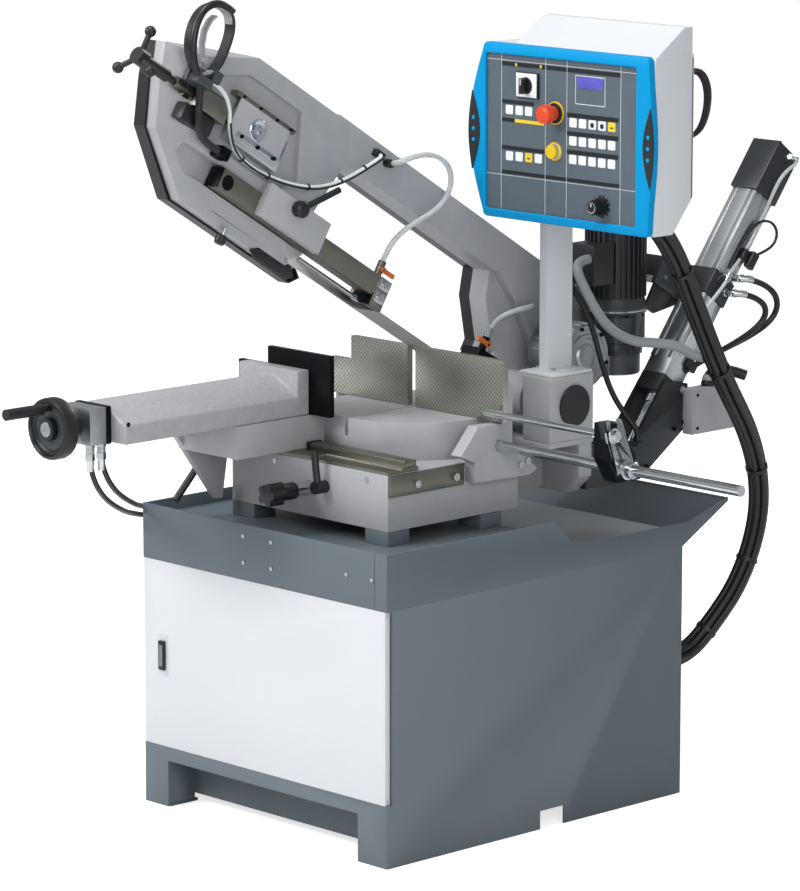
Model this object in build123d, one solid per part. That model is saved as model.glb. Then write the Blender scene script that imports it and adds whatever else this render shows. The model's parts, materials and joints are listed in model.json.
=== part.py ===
from build123d import *
import math
import os

# Semi-automatic band saw for metal, in millimetres.
# X runs to the operator's right, Y from the operator to the back, Z up.
# The origin is on the floor under the centre of the cabinet.

# General fits
GAP = 0.3            # room between bodies that pass each other
RUN_FIT = 0.05       # radial clearance of a shaft in its bore

# Cabinet, a folded steel skirt with a tray on top
CAB_W = 780.0
CAB_D = 908.0
SHEET = 4.0
LIP_Z = 678.0        # top edge of the front half
LIP_END_Y = 48.0     # where the top edge starts to slope down
SLOPE_Y = 60.0
SIDE_Z = 618.0       # top edge of the rear half
FLARE_Y = 470.0      # where the rear edge flares up
OVERHANG = 149.0     # reach of the rear overhang past the back wall
OVERHANG_Z = 656.0
BREAK_Z = 565.0      # where the back wall turns out to the overhang
TRAY_Z = 650.0
TRAY_LOW_Z = 600.0
TRAY_SHEET = 3.0
SHELF_Z = 114.0
TOE_Z = 105.0
TOE_X0 = -313.0
TOE_X1 = 300.0
TOE_DEPTH = 74.0
FORK_Y = 44.0        # centre of the fork notch in each side
FORK_W = 74.0
FORK_H = 41.0
ANCHOR_X = 700.0     # hole pitch of the floor anchors
ANCHOR_Y = 820.0
ANCHOR_R = 7.0
ANCHOR_PLATE = 80.0
ANCHOR_SHEET = 6.0

# Cabinet door and its latch
DOOR_Z0 = 137.0
DOOR_Z1 = 555.0
DOOR_INSET = 2.0     # from the left wall to the door's edge
DOOR_T = 14.0
DOOR_STANDOFF = 2.0
DOOR_EDGE = 10.0     # from the pin's axis to the right wall
DOOR_LIP = 4.0       # from the pin's axis to the door's edge
DOOR_PIN_R = 4.0
DOOR_PIN_IN = 14.0
DOOR_FRAME = 20.0    # frame left round the door opening
LATCH_X = -324.0
LATCH_Z = 344.0
LATCH_W = 28.0
LATCH_H = 93.0
LATCH_STEM_R = 9.0

# Tanks inside the cabinet
TANK_W = 360.0
TANK_D = 400.0
TANK_H = 200.0
TANK_X = -360.0
TANK_Y = -20.0
PUMP_R = 45.0
PUMP_H = 150.0
PACK_W = 280.0
PACK_D = 300.0
PACK_H = 220.0
PACK_X = 70.0
PACK_Y = -20.0
PACK_MOTOR_R = 60.0
PACK_MOTOR_H = 150.0

# Base casting under the turntable
BASE_X0 = -262.0
BASE_X1 = 236.0
BASE_Y0 = -304.0
BASE_Y1 = 89.0
BASE_Z0 = 682.0
BASE_Z1 = 805.0
BASE_WALL = 30.0
BASE_TOP_T = 35.0
PAD_W = 72.0
PAD_D = 64.0
JAW_LUG_W = 40.0
JAW_LUG_T = 32.0

# Turntable and the swivel arm behind it
TABLE_R = 205.0
TABLE_Z = 888.0
TRUNNION_R = 40.0
BLADE_SLOT = 10.0
BLADE_SLOT_D = 40.0
SLOT_EXIT_W = 24.0   # the slot opens out where the band starts to twist
SLOT_EXIT_L = 26.0
ARM_X0 = 70.0
ARM_X1 = 165.0
ARM_Y0 = 95.0
ARM_Z0 = 700.0
ARM_Z1 = 821.0
CROSS_Y0 = 235.0
CROSS_Y1 = 275.0

# Rails for the vise, on the base
RAIL_CLEAR = 8.0     # from the turntable's edge to the rails
RAIL_Y0 = -303.0
RAIL_Y1 = -TABLE_R - RAIL_CLEAR
RAIL_T = 10.0
RAIL_STEP_Y = -262.0
RAIL_STEP = 6.0
RAIL_X1 = 235.0

# Hinge of the saw bow
HINGE_Y = 218.0
HINGE_Z = 898.0
HINGE_R = 30.0
RAISE = 31.6         # degrees above level in the raised rest position
BLOCK_X0 = 168.0
BLOCK_X1 = 279.0
BLOCK_Y0 = 143.0
BLOCK_Y1 = 280.0
BLOCK_Z1 = 965.0
BLOCK_CHAMFER = 28.0
CAP_R = 46.0
CAP_T = 6.0

# Jaws
JAW_Z = 888.6
JAW_T = 16.0
JAW_H = 135.0
JAW_STEP_H = 81.0
FIXED_L_X0 = -259.0
FIXED_L_STEP = -194.0
FIXED_GAP = 24.0     # clear width for the blade between the two fixed jaws
FIXED_R_X1 = 285.0

# Vise
VISE_X = -175.0      # centre plane of the vise and axis of its screw
VISE_W = 192.0
VISE_Y0 = -452.0
VISE_Y1 = -TABLE_R + 9.0
VISE_Z1 = 888.0
VISE_WEB_T = 18.0
WEB_Y0 = -470.0      # web under the vise's left side
WEB_LOW_Y0 = -358.0
WEB_LOW_Y1 = -340.0
WEB_Y1 = -320.0
WEB_Z0 = 693.0
WEB_Z1 = 846.0
VISE_ARM_Y0 = -765.0
VISE_ARM_Y1 = -240.0
VISE_ARM_FOLD_Z = 930.0
VISE_ARM_TOP_Z = 970.0
VISE_ARM_TOP_W = 44.0
VISE_ARM_WALL = 10.0
VISE_BACK = 70.0     # travel of the jaw back from its rest place
CARRIER_T = 35.0
CARRIER_Z = 988.0
SCREW_Z = 927.0
SCREW_R = 12.0
NUT_Y0 = -440.0
NUT_Y1 = -400.0
NUT_W = 40.0
GUIDE_W = 20.0
GUIDE_H = 12.0
MOVE_JAW_X0 = -310.0
MOVE_JAW_X1 = -14.0
MOVE_JAW_STEP = -214.0
MOVE_JAW_T = 14.0
MOVE_JAW_H = 136.0
MOVE_JAW_LOW = 96.0
HYD_W = 100.0
HYD_D = 58.0
HYD_Z0 = 888.0
HYD_Z1 = 966.0
WHEEL_Y = -884.0
WHEEL_R = 63.0
WHEEL_RIM_R = 10.0
CRANK_R = 44.0
CRANK_Y = -1009.0
HOSE_R = 6.0

# Levers on the front of the base
CLAMP_X = 40.0
CLAMP_Z = 755.0
CLAMP_L = 80.0
KNOB_X = -10.0
KNOB_Z = 745.0
KNOB_SHAFT_R = 11.0
KNOB_R = 26.0
KNOB_Y0 = -432.0
KNOB_Y1 = -351.0
LOCK_Y = -375.0
LOCK_Z = 771.0
LOCK_TIP_Y = -445.0
LOCK_TIP_Z = 695.0

# Bar stop on the right
STOP_X1 = 268.0
STOP_RAIL_Z = 836.0
STOP_RAIL_R = 12.0
STOP_RAIL_X1 = 970.0
STOP_IN = 18.0       # how far the rail sits in its bracket
STOP_ROD_Y = -40.0
STOP_ROD_Z = 913.0
STOP_ROD_R = 8.0
STOP_ROD_X0 = 264.0
STOP_ROD_X1 = 627.0
CARRIAGE_X0 = 605.0
CARRIAGE_X1 = 645.0

# Control panel on its post
POST_X0 = 193.0
POST_X1 = 218.0
POST_Y0 = 195.0
POST_Y1 = 275.0
POST_Z1 = 1450.0
FLANGE_T = 7.0
PANEL_X0 = 152.0
PANEL_X1 = 645.0
PANEL_Y0 = 78.0
PANEL_Z0 = 1321.0
PANEL_Z1 = 1698.0
PANEL_SHEET = 2.0
FRAME_T = 16.0
HOOD_Z = 1755.0
SELECT_X = 281.0
SELECT_Z = 1613.0
ESTOP_X = 362.0
ESTOP_Z = 1560.0
START_X = 361.0
START_Z = 1478.0
SPEED_X = 501.0
SPEED_Z = 1373.0
BUSH_R = 11.0        # hole of a control in the panel

# Saw bow, in its own plane: P along the blade from the hinge, Q square to it
BOW_NEAR = 50.0
BOW_SPLIT = -22.0
BOW_FAR = -55.0
BOW_PLATE = 30.0
BOW_WALL = 8.0
COVER_WALL = 4.0
BEAM_TOP = 308.0
BEAM_LOW = 225.0
BOW_TAIL = 258.0
NOSE_BOTTOM = 64.0
WHEEL_BAND_R = 148.0
WHEEL_BAND_W = 28.0
DRIVE_P = 95.0
IDLER_P = -950.0
WHEEL_Q = 146.5
DRIVE_SHAFT_R = 20.0
IDLER_SHAFT_R = 18.0
BAND_T = 0.9
BAND_W = 27.0
BAND_STRAIGHT_P0 = -600.0
BAND_STRAIGHT_P1 = -30.0
BAND_FLAT_L = 45.0   # the band lies flat this far before it meets a wheel
LUG_R = 55.0
LUG_X1 = 166.0
GEARBOX_R = 72.0
GEARBOX_X1 = 160.0
MOTOR_X = 122.0
MOTOR_Y = 512.0
MOTOR_R = 64.0
MOTOR_Z0 = 1062.0
MOTOR_Z1 = 1300.0
BELL_Z0 = 965.0
GUIDE_P0 = -1002.0
GUIDE_P1 = -440.0
GUIDE_Q0 = 14.0
GUIDE_Q1 = 60.0
GUIDE_X0 = 22.0
GUIDE_X1 = 62.0
GUIDE_HEAD = 40.0
GUIDE_BOTTOM = -8.0
GUIDE_FAR = -9.0
CLAMP_P0 = -882.0
CLAMP_P1 = -686.0
TRAVEL_TENSION = 4.0

# Lift cylinder behind the hinge
CYL_X = 222.0
CYL_HALF = 33.0
EYE_Y = 424.3
EYE_Z = 730.0
TRUNNION_P = 311.4
TRUNNION_Q = 432.6
CYL_D0 = 184.0       # from the eye to the foot of the tube
CYL_OVERRUN = 141.0   # from the piston's top to the end of the tube
CYL_BORE = 25.0
ROD_R = 14.0
ROD_D1 = 700.0       # from the eye to the piston's top
CYL_D1 = ROD_D1 + CYL_OVERRUN
EYE_PIN_R = 10.0
TRUNNION_PIN_R = 12.0
TRUNNION_PLAY = 11.0
CHEEK_T = 6.0

HALF_W = CAB_W / 2
HALF_D = CAB_D / 2
FRONT_Y = -HALF_D
REAR_Y = HALF_D
OVER_Y = REAR_Y + OVERHANG


def box(x0, x1, y0, y1, z0, z1):
    """Block between two corners."""
    middle = Pos((x0 + x1) / 2, (y0 + y1) / 2, (z0 + z1) / 2)
    return middle * Box(x1 - x0, y1 - y0, z1 - z0)


def bar(start, end, radius):
    """Round bar between two points."""
    run = Vector(*end) - Vector(*start)
    plane = Plane(origin=start, z_dir=run)
    return extrude(plane * Circle(radius), amount=run.length)


def rod_x(x0, x1, y, z, radius):
    return bar((x0, y, z), (x1, y, z), radius)


def rod_y(y0, y1, x, z, radius):
    return bar((x, y0, z), (x, y1, z), radius)


def rod_z(z0, z1, x, y, radius):
    return bar((x, y, z0), (x, y, z1), radius)


def prism_yz(points, x0, x1):
    """Outline in the YZ plane, drawn out along X."""
    plane = Plane(origin=(x0, 0, 0), x_dir=(0, 1, 0), z_dir=(1, 0, 0))
    return extrude(plane * make_face(Polyline(*points, close=True)), amount=x1 - x0)


def prism_xz(points, y0, y1):
    """Outline in the XZ plane, drawn out along Y."""
    plane = Plane(origin=(0, y1, 0), x_dir=(1, 0, 0), z_dir=(0, -1, 0))
    return extrude(plane * make_face(Polyline(*points, close=True)), amount=y1 - y0)


def prism_xy(points, z0, z1):
    """Outline in the XY plane, drawn out along Z."""
    plane = Plane(origin=(0, 0, z0))
    return extrude(plane * make_face(Polyline(*points, close=True)), amount=z1 - z0)


def bow_point(p, q):
    """Place (Y, Z) of a point of the bow while the blade is level."""
    return (HINGE_Y + p, HINGE_Z + q)


def bow_prism(points, x0, x1):
    return prism_yz([bow_point(p, q) for p, q in points], x0, x1)


def bow_box(x0, x1, p0, p1, q0, q1):
    return box(x0, x1, HINGE_Y + p0, HINGE_Y + p1, HINGE_Z + q0, HINGE_Z + q1)


def bow_rod(x0, x1, p, q, radius):
    return rod_x(x0, x1, HINGE_Y + p, HINGE_Z + q, radius)


def raised(shape):
    """Lift a shape of the level bow to the rest position."""
    return shape.rotate(Axis((0, HINGE_Y, HINGE_Z), (1, 0, 0)), -RAISE)


def cord(points, radius, runs=0.45):
    """Round tube along straight runs joined by tangent arcs, as large as the runs allow."""
    path_points = [Vector(*point) for point in points]
    radii = []
    for before, here, after in zip(path_points, path_points[1:], path_points[2:]):
        run_in = here - before
        run_out = after - here
        turn = math.radians(run_in.get_angle(run_out))
        shorter = min(run_in.length, run_out.length)
        radii.append(runs * shorter / math.tan(turn / 2))
    path = FilletPolyline(*points, radius=radii)
    start = Plane(origin=points[0], z_dir=path_points[1] - path_points[0])
    tube = sweep(start * Circle(radius), path=path)
    expected = math.pi * radius ** 2 * path.length
    print("cord radii", [round(r) for r in radii], "length", round(path.length),
          "volume ratio", round(tube.volume / expected, 4))
    return tube


def save(shape, node):
    export_step(shape, f"parts/{node}.step")


os.makedirs("parts", exist_ok=True)

# Cabinet group
TRAY_FRONT_Y = LIP_END_Y - 10.0
SLOPE_END_Y = LIP_END_Y + SLOPE_Y
PIN_X = HALF_W - DOOR_EDGE
DOOR_FRAME_Y = FRONT_Y + DOOR_T + DOOR_STANDOFF   # the door lies flush in a recess of the front
DOOR_Y1 = DOOR_FRAME_Y - DOOR_STANDOFF
DOOR_Y0 = DOOR_Y1 - DOOR_T
DOOR_PIN_Y = (DOOR_Y0 + DOOR_Y1) / 2
GLAND_X = 340.0
GLAND_Z = 300.0
GLAND_R = 34.0
GLAND_L = 14.0
BUNDLE_R = 24.0
HOSE_WALL_Y = -278.0
HOSE_WALL_Z = 612.0
HOSE_PITCH = 26.0


def cabinet_body():
    edge = 8.0
    outer = [(FRONT_Y, 0), (REAR_Y, 0), (REAR_Y, BREAK_Z), (OVER_Y, OVERHANG_Z - edge),
             (OVER_Y, OVERHANG_Z), (FLARE_Y, SIDE_Z), (SLOPE_END_Y, SIDE_Z),
             (LIP_END_Y, LIP_Z), (FRONT_Y, LIP_Z)]
    over = LIP_Z + OVERHANG
    inner = [(FRONT_Y + SHEET, -1), (REAR_Y - SHEET, -1), (REAR_Y - SHEET, BREAK_Z + SHEET),
             (OVER_Y - SHEET, OVERHANG_Z - edge + SHEET), (OVER_Y - SHEET, over),
             (FRONT_Y + SHEET, over)]
    body = prism_yz(outer, -HALF_W, HALF_W)
    body -= prism_yz(inner, -HALF_W + SHEET, HALF_W - SHEET)
    front0 = FRONT_Y - 1
    front1 = FRONT_Y + SHEET + 1
    low = DOOR_Z0 - GAP
    high = DOOR_Z1 + GAP
    body -= box(-HALF_W - 1, HALF_W + 1, front0, DOOR_FRAME_Y, low, high)
    recess = box(-HALF_W, HALF_W, FRONT_Y, DOOR_FRAME_Y + SHEET, low - SHEET, high + SHEET)
    recess -= box(-HALF_W - 1, HALF_W + 1, front0, DOOR_FRAME_Y, low, high)
    recess -= box(-HALF_W + DOOR_FRAME, HALF_W - DOOR_FRAME, DOOR_FRAME_Y - 1, DOOR_FRAME_Y + SHEET + 1,
                  DOOR_Z0 + DOOR_FRAME / 2, DOOR_Z1 - DOOR_FRAME / 2)
    body += recess
    body -= box(TOE_X0, TOE_X1, front0, front1, -1, TOE_Z)
    body -= box(-HALF_W - 1, HALF_W + 1, FORK_Y - FORK_W / 2, FORK_Y + FORK_W / 2, -1, FORK_H)
    inside = HALF_W - SHEET
    toe_y = FRONT_Y + TOE_DEPTH
    body += box(-inside, inside, toe_y, REAR_Y - SHEET, SHELF_Z - SHEET, SHELF_Z)
    body += box(TOE_X0 - SHEET, TOE_X0, FRONT_Y, toe_y + SHEET, 0, SHELF_Z)
    body += box(TOE_X1, TOE_X1 + SHEET, FRONT_Y, toe_y + SHEET, 0, SHELF_Z)
    body += box(TOE_X0, TOE_X1, toe_y, toe_y + SHEET, ANCHOR_PLATE / 4, SHELF_Z)
    body += box(-inside, inside, FRONT_Y, toe_y + SHEET, SHELF_Z - SHEET, SHELF_Z)
    for side in (-1, 1):
        for end in (-1, 1):
            x = side * ANCHOR_X / 2
            y = end * ANCHOR_Y / 2
            half = ANCHOR_PLATE / 2
            body += box(x - half, x + half, y - half, y + half, 0, ANCHOR_SHEET)
            body -= rod_z(-1, ANCHOR_SHEET + 1, x, y, ANCHOR_R)
    body += rod_z(DOOR_Z0 - SHEET, DOOR_Z0 + DOOR_PIN_IN, PIN_X, DOOR_PIN_Y, DOOR_PIN_R)
    body += rod_z(DOOR_Z1 - DOOR_PIN_IN, DOOR_Z1 + SHEET, PIN_X, DOOR_PIN_Y, DOOR_PIN_R)
    body += rod_y(REAR_Y - SHEET, REAR_Y + GLAND_L, GLAND_X, GLAND_Z, GLAND_R)
    for step in (0, 1):
        y = HOSE_WALL_Y + step * HOSE_PITCH
        body += rod_x(-HALF_W - SHEET, -HALF_W + SHEET, y, HOSE_WALL_Z, HOSE_R * 2)
        body -= rod_x(-HALF_W - 2 * SHEET, -HALF_W + 2 * SHEET, y, HOSE_WALL_Z, HOSE_R + GAP)
    return body


def coolant_tray():
    side = HALF_W - SHEET - GAP
    front = FRONT_Y + SHEET + GAP
    back = REAR_Y - SHEET - GAP
    low_y = SLOPE_END_Y - 10.0
    top = [(front, TRAY_Z), (TRAY_FRONT_Y, TRAY_Z), (low_y, TRAY_LOW_Z), (back, TRAY_LOW_Z)]
    under = [(y, z - TRAY_SHEET) for y, z in reversed(top)]
    return prism_yz(top + under, -side, side)


def cabinet_door():
    left = -HALF_W + DOOR_INSET
    right = PIN_X + DOOR_LIP
    door = box(left, right, DOOR_Y0, DOOR_Y1, DOOR_Z0, DOOR_Z1)
    for z0, z1 in ((DOOR_Z0 - 1, DOOR_Z0 + DOOR_PIN_IN + GAP), (DOOR_Z1 - DOOR_PIN_IN - GAP, DOOR_Z1 + 1)):
        door -= rod_z(z0, z1, PIN_X, DOOR_PIN_Y, DOOR_PIN_R + RUN_FIT)
    plate = 2.0
    door += box(LATCH_X - LATCH_W / 2, LATCH_X + LATCH_W / 2, DOOR_Y0 - plate, DOOR_Y0,
                LATCH_Z - LATCH_H / 2, LATCH_Z + LATCH_H / 2)
    door -= rod_y(DOOR_Y0 - 2 * plate, DOOR_Y1 + 1, LATCH_X, LATCH_Z, LATCH_STEM_R + RUN_FIT)
    return door


def door_latch():
    plate = 2.0
    handle_y1 = DOOR_Y0 - plate - GAP
    handle_t = 7.0
    handle_w = LATCH_W * 0.6
    handle_l = LATCH_H * 0.7
    cam_y0 = DOOR_FRAME_Y + SHEET + GAP
    latch = box(LATCH_X - handle_w / 2, LATCH_X + handle_w / 2, handle_y1 - handle_t, handle_y1,
                LATCH_Z - handle_l / 2, LATCH_Z + handle_l / 2)
    latch += rod_y(handle_y1 - 1, cam_y0 + SHEET, LATCH_X, LATCH_Z, LATCH_STEM_R)
    reach = LATCH_X + HALF_W - DOOR_FRAME / 2
    latch += box(LATCH_X - LATCH_STEM_R, LATCH_X + LATCH_STEM_R, cam_y0, cam_y0 + SHEET,
                 LATCH_Z - reach, LATCH_Z + LATCH_STEM_R)
    return latch


def coolant_unit():
    tank = box(TANK_X, TANK_X + TANK_W, TANK_Y, TANK_Y + TANK_D, SHELF_Z, SHELF_Z + TANK_H)
    pump_x = TANK_X + TANK_W - 1.6 * PUMP_R
    pump_y = TANK_Y + TANK_D / 2
    tank += rod_z(SHELF_Z + TANK_H, SHELF_Z + TANK_H + PUMP_H, pump_x, pump_y, PUMP_R)
    return tank


def hydraulic_power_pack():
    pack = box(PACK_X, PACK_X + PACK_W, PACK_Y, PACK_Y + PACK_D, SHELF_Z, SHELF_Z + PACK_H)
    top = SHELF_Z + PACK_H
    pack += rod_z(top, top + PACK_MOTOR_H, PACK_X + PACK_W / 3, PACK_Y + PACK_D / 2, PACK_MOTOR_R)
    manifold = 60.0
    pack += box(PACK_X + PACK_W - 1.4 * manifold, PACK_X + PACK_W - 0.4 * manifold,
                PACK_Y + manifold, PACK_Y + PACK_D - manifold, top, top + manifold)
    return pack


def pedestal_pads():
    pads = []
    for x in (BASE_X0, BASE_X1 - PAD_W):
        for y in (BASE_Y0, TRAY_FRONT_Y - PAD_D):
            pads.append(box(x, x + PAD_W, y, y + PAD_D, TRAY_Z, BASE_Z0))
    return Compound(children=pads)


def base_casting():
    outline = [(BASE_X0, BASE_Y0), (BASE_X1, BASE_Y0), (BASE_X1, BASE_Y1), (BASE_X0, BASE_Y1)]
    base = prism_xy(outline, BASE_Z0, BASE_Z1)
    base -= box(BASE_X0 + BASE_WALL, BASE_X1 - BASE_WALL, BASE_Y0 + BASE_WALL, BASE_Y1 - BASE_WALL,
                BASE_Z0 - 1, BASE_Z1 - BASE_TOP_T)
    base -= rod_z(BASE_Z0, BASE_Z1 + 1, 0, 0, TRUNNION_R + RUN_FIT)
    base += box(BASE_X0, BASE_X0 + JAW_LUG_W, JAW_T / 2, JAW_T / 2 + JAW_LUG_T,
                BASE_Z1, JAW_Z + JAW_STEP_H - 10.0)
    return base


def vise_rails():
    rails = box(BASE_X0, RAIL_X1, RAIL_Y0, RAIL_Y1, BASE_Z1, BASE_Z1 + RAIL_T)
    rails -= box(0, RAIL_X1 + 1, RAIL_Y0 - 1, RAIL_STEP_Y, BASE_Z1 + RAIL_STEP, BASE_Z1 + RAIL_T + 1)
    return rails


STOP_OUTLINE = [(-119, 826), (-66, 885), (15, 882), (15, 859), (118, 770), (92, 757), (-74, 762),
                (-74, 807)]


def stop_bracket():
    bracket = prism_yz(STOP_OUTLINE, BASE_X1, STOP_X1)
    bracket += box(BASE_X1, STOP_X1, JAW_T / 2, JAW_T / 2 + JAW_LUG_T, STOP_RAIL_Z, JAW_Z + JAW_STEP_H)
    bracket -= rod_x(STOP_X1 - STOP_IN, STOP_X1 + 1, 0, STOP_RAIL_Z, STOP_RAIL_R + RUN_FIT)
    return bracket


def fixed_jaw_plates():
    half = JAW_T / 2
    inner = FIXED_GAP / 2
    left = [(FIXED_L_X0, JAW_Z), (-inner, JAW_Z), (-inner, JAW_Z + JAW_H),
            (FIXED_L_STEP, JAW_Z + JAW_H), (FIXED_L_STEP, JAW_Z + JAW_STEP_H),
            (FIXED_L_X0, JAW_Z + JAW_STEP_H)]
    right = [(inner, JAW_Z), (FIXED_R_X1, JAW_Z), (FIXED_R_X1, JAW_Z + JAW_H), (inner, JAW_Z + JAW_H)]
    return Compound(children=[prism_xz(left, -half, half), prism_xz(right, -half, half)])


def stop_rail():
    return rod_x(STOP_X1 - STOP_IN + GAP, STOP_RAIL_X1, 0, STOP_RAIL_Z, STOP_RAIL_R)


save(cabinet_body(), "cabinet_body")
save(coolant_tray(), "coolant_tray")
save(cabinet_door(), "cabinet_door")
save(door_latch(), "door_latch")
save(coolant_unit(), "coolant_unit")
save(hydraulic_power_pack(), "hydraulic_power_pack")
save(pedestal_pads(), "pedestal_pads")
save(base_casting(), "base_casting")
save(vise_rails(), "vise_rails")
save(stop_bracket(), "stop_bracket")
save(fixed_jaw_plates(), "fixed_jaw_plates")
save(stop_rail(), "stop_rail")

# Vise group
VISE_X0 = VISE_X - VISE_W / 2
VISE_X1 = VISE_X + VISE_W / 2
VISE_Z0 = BASE_Z1 + RAIL_T + GAP
ARM_BOTTOM = VISE_Z1 + GAP
HYD_Y1 = VISE_ARM_Y0
HYD_Y0 = HYD_Y1 - HYD_D
HUB_R = 24.0


def vise_body():
    body = box(VISE_X0, VISE_X1, VISE_Y0, VISE_Y1, VISE_Z0, VISE_Z1)
    web = [(WEB_Y0, WEB_Z1), (WEB_LOW_Y0, WEB_Z0), (WEB_LOW_Y1, WEB_Z0), (WEB_Y1, VISE_Z0), (WEB_Y1, WEB_Z1)]
    body += prism_yz(web, VISE_X0, VISE_X0 + VISE_WEB_T)
    guide_end = VISE_ARM_Y1 - CARRIER_T - VISE_BACK - GAP
    for side in (-1, 1):
        edge = VISE_X + side * (VISE_W / 2 - VISE_ARM_WALL - GAP)
        x0 = min(edge, edge - side * GUIDE_W)
        body += box(x0, x0 + GUIDE_W, VISE_Y0, guide_end, VISE_Z1, VISE_Z1 + GUIDE_H)
    nut_top = SCREW_Z + NUT_W / 2
    body += box(VISE_X - NUT_W / 2, VISE_X + NUT_W / 2, NUT_Y0, NUT_Y1, VISE_Z1, nut_top)
    body -= rod_y(NUT_Y0 - 1, NUT_Y1 + 1, VISE_X, SCREW_Z, SCREW_R + RUN_FIT)
    return body


def arm_section(inset, bottom):
    half = VISE_W / 2 - inset
    top = VISE_ARM_TOP_W / 2 - inset / 2
    return [(VISE_X - half, bottom), (VISE_X + half, bottom),
            (VISE_X + half, VISE_ARM_FOLD_Z - inset / 2), (VISE_X + top, VISE_ARM_TOP_Z - inset),
            (VISE_X - top, VISE_ARM_TOP_Z - inset), (VISE_X - half, VISE_ARM_FOLD_Z - inset / 2)]


def vise_arm():
    arm = prism_xz(arm_section(0, ARM_BOTTOM), VISE_ARM_Y0, VISE_ARM_Y1)
    hollow_end = VISE_ARM_Y1 - CARRIER_T
    arm -= prism_xz(arm_section(VISE_ARM_WALL, ARM_BOTTOM - 1), VISE_ARM_Y0 + VISE_ARM_WALL, hollow_end)
    arm += box(VISE_X0, VISE_X1, hollow_end, VISE_ARM_Y1, ARM_BOTTOM, CARRIER_Z)
    arm -= rod_y(VISE_ARM_Y0 - 1, VISE_ARM_Y0 + VISE_ARM_WALL + 1, VISE_X, SCREW_Z, SCREW_R + RUN_FIT)
    return arm


def movable_jaw():
    outline = [(MOVE_JAW_X0, JAW_Z), (MOVE_JAW_X1, JAW_Z), (MOVE_JAW_X1, JAW_Z + MOVE_JAW_H),
               (MOVE_JAW_STEP, JAW_Z + MOVE_JAW_H), (MOVE_JAW_STEP, JAW_Z + MOVE_JAW_LOW),
               (MOVE_JAW_X0, JAW_Z + MOVE_JAW_LOW)]
    return prism_xz(outline, VISE_ARM_Y1, VISE_ARM_Y1 + MOVE_JAW_T)


def vise_hydraulic_block():
    half = HYD_W / 2
    block = box(VISE_X - half, VISE_X + half, HYD_Y0, HYD_Y1, HYD_Z0, HYD_Z1)
    block -= rod_y(HYD_Y0 - 1, HYD_Y1 + 1, VISE_X, SCREW_Z, SCREW_R + RUN_FIT)
    for x, y, z in hose_starts():
        block += rod_z(z, HYD_Z0, x, y, HOSE_R + 3.0)
    return block


def vise_lead_screw():
    screw_end = VISE_ARM_Y1 - CARRIER_T - 5.0
    return rod_y(WHEEL_Y - GAP, screw_end, VISE_X, SCREW_Z, SCREW_R)


def vise_handwheel():
    hub_y0 = WHEEL_Y - 18.0
    hub = rod_y(hub_y0, HYD_Y0 - GAP, VISE_X, SCREW_Z, HUB_R)
    plane = Plane(origin=(VISE_X, WHEEL_Y, SCREW_Z), x_dir=(1, 0, 0), z_dir=(0, -1, 0))
    rim = plane * Torus(WHEEL_R - WHEEL_RIM_R, WHEEL_RIM_R)
    web_t = 8.0
    dish = rod_y(WHEEL_Y - web_t / 2, WHEEL_Y + web_t / 2, VISE_X, SCREW_Z, WHEEL_R - WHEEL_RIM_R)
    wheel = hub + dish + rim
    crank_z = SCREW_Z + CRANK_R
    wheel += rod_y(WHEEL_Y - 30.0, WHEEL_Y, VISE_X, crank_z, 6.0)
    wheel += rod_y(CRANK_Y, WHEEL_Y - 28.0, VISE_X, crank_z, 12.0)
    wheel -= rod_y(WHEEL_Y - GAP, HYD_Y0, VISE_X, SCREW_Z, SCREW_R)
    return wheel


HOSE_X = -150.0
HOSE_FITTING = 20.0
HOSE_ROUTE = [(-150, -803, 836), (-166, -776, 794), (-208, -718, 752), (-272, -640, 716), (-342, -558, 684),
              (-408, -486, 658), (-446, -420, 638), (-458, -360, 624), (-448, -304, 616)]
HOSE_SPREAD = (0.2, 1.0, 0.5)    # how the second hose lies beside the first


def hose_starts():
    starts = []
    for step in (0, 1):
        shift = step * HOSE_PITCH
        starts.append((HOSE_X + shift * HOSE_SPREAD[0], HYD_Y0 + HOSE_FITTING + shift * HOSE_SPREAD[1],
                       HYD_Z0 - HOSE_FITTING))
    return starts


def vise_hoses():
    hoses = []
    for step, start in enumerate(hose_starts()):
        shift = step * HOSE_PITCH
        route = [start]
        for x, y, z in HOSE_ROUTE:
            route.append((x + shift * HOSE_SPREAD[0], y + shift * HOSE_SPREAD[1], z + shift * HOSE_SPREAD[2]))
        end_y = HOSE_WALL_Y + shift
        route.append((-HALF_W - 35.0, end_y, HOSE_WALL_Z))
        route.append((-HALF_W + 2.0, end_y, HOSE_WALL_Z))
        hoses.append(cord(route, HOSE_R))
    return Compound(children=hoses)


def vise_clamp_lever():
    y1 = BASE_Y0 - GAP
    y0 = y1 - 32.0
    hub_r = 14.0
    lever = rod_y(y0, y1, CLAMP_X, CLAMP_Z, hub_r)
    lever += bar((CLAMP_X, y0 + 10.0, CLAMP_Z), (CLAMP_X - 6.0, y0 + 6.0, CLAMP_Z + CLAMP_L), 8.0)
    return lever


def turret_lock_knob():
    knob = rod_y(KNOB_Y1 - 1, BASE_Y0 - GAP, KNOB_X, KNOB_Z, KNOB_SHAFT_R)
    knob += rod_y(KNOB_Y0, KNOB_Y1, KNOB_X, KNOB_Z, KNOB_R * 0.72)
    lobes = 5
    for n in range(lobes):
        turn = 2 * math.pi * n / lobes
        x = KNOB_X + KNOB_R * 0.66 * math.cos(turn)
        z = KNOB_Z + KNOB_R * 0.66 * math.sin(turn)
        knob += rod_y(KNOB_Y0, KNOB_Y0 + 42.0, x, z, KNOB_R * 0.34)
    return knob


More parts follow.
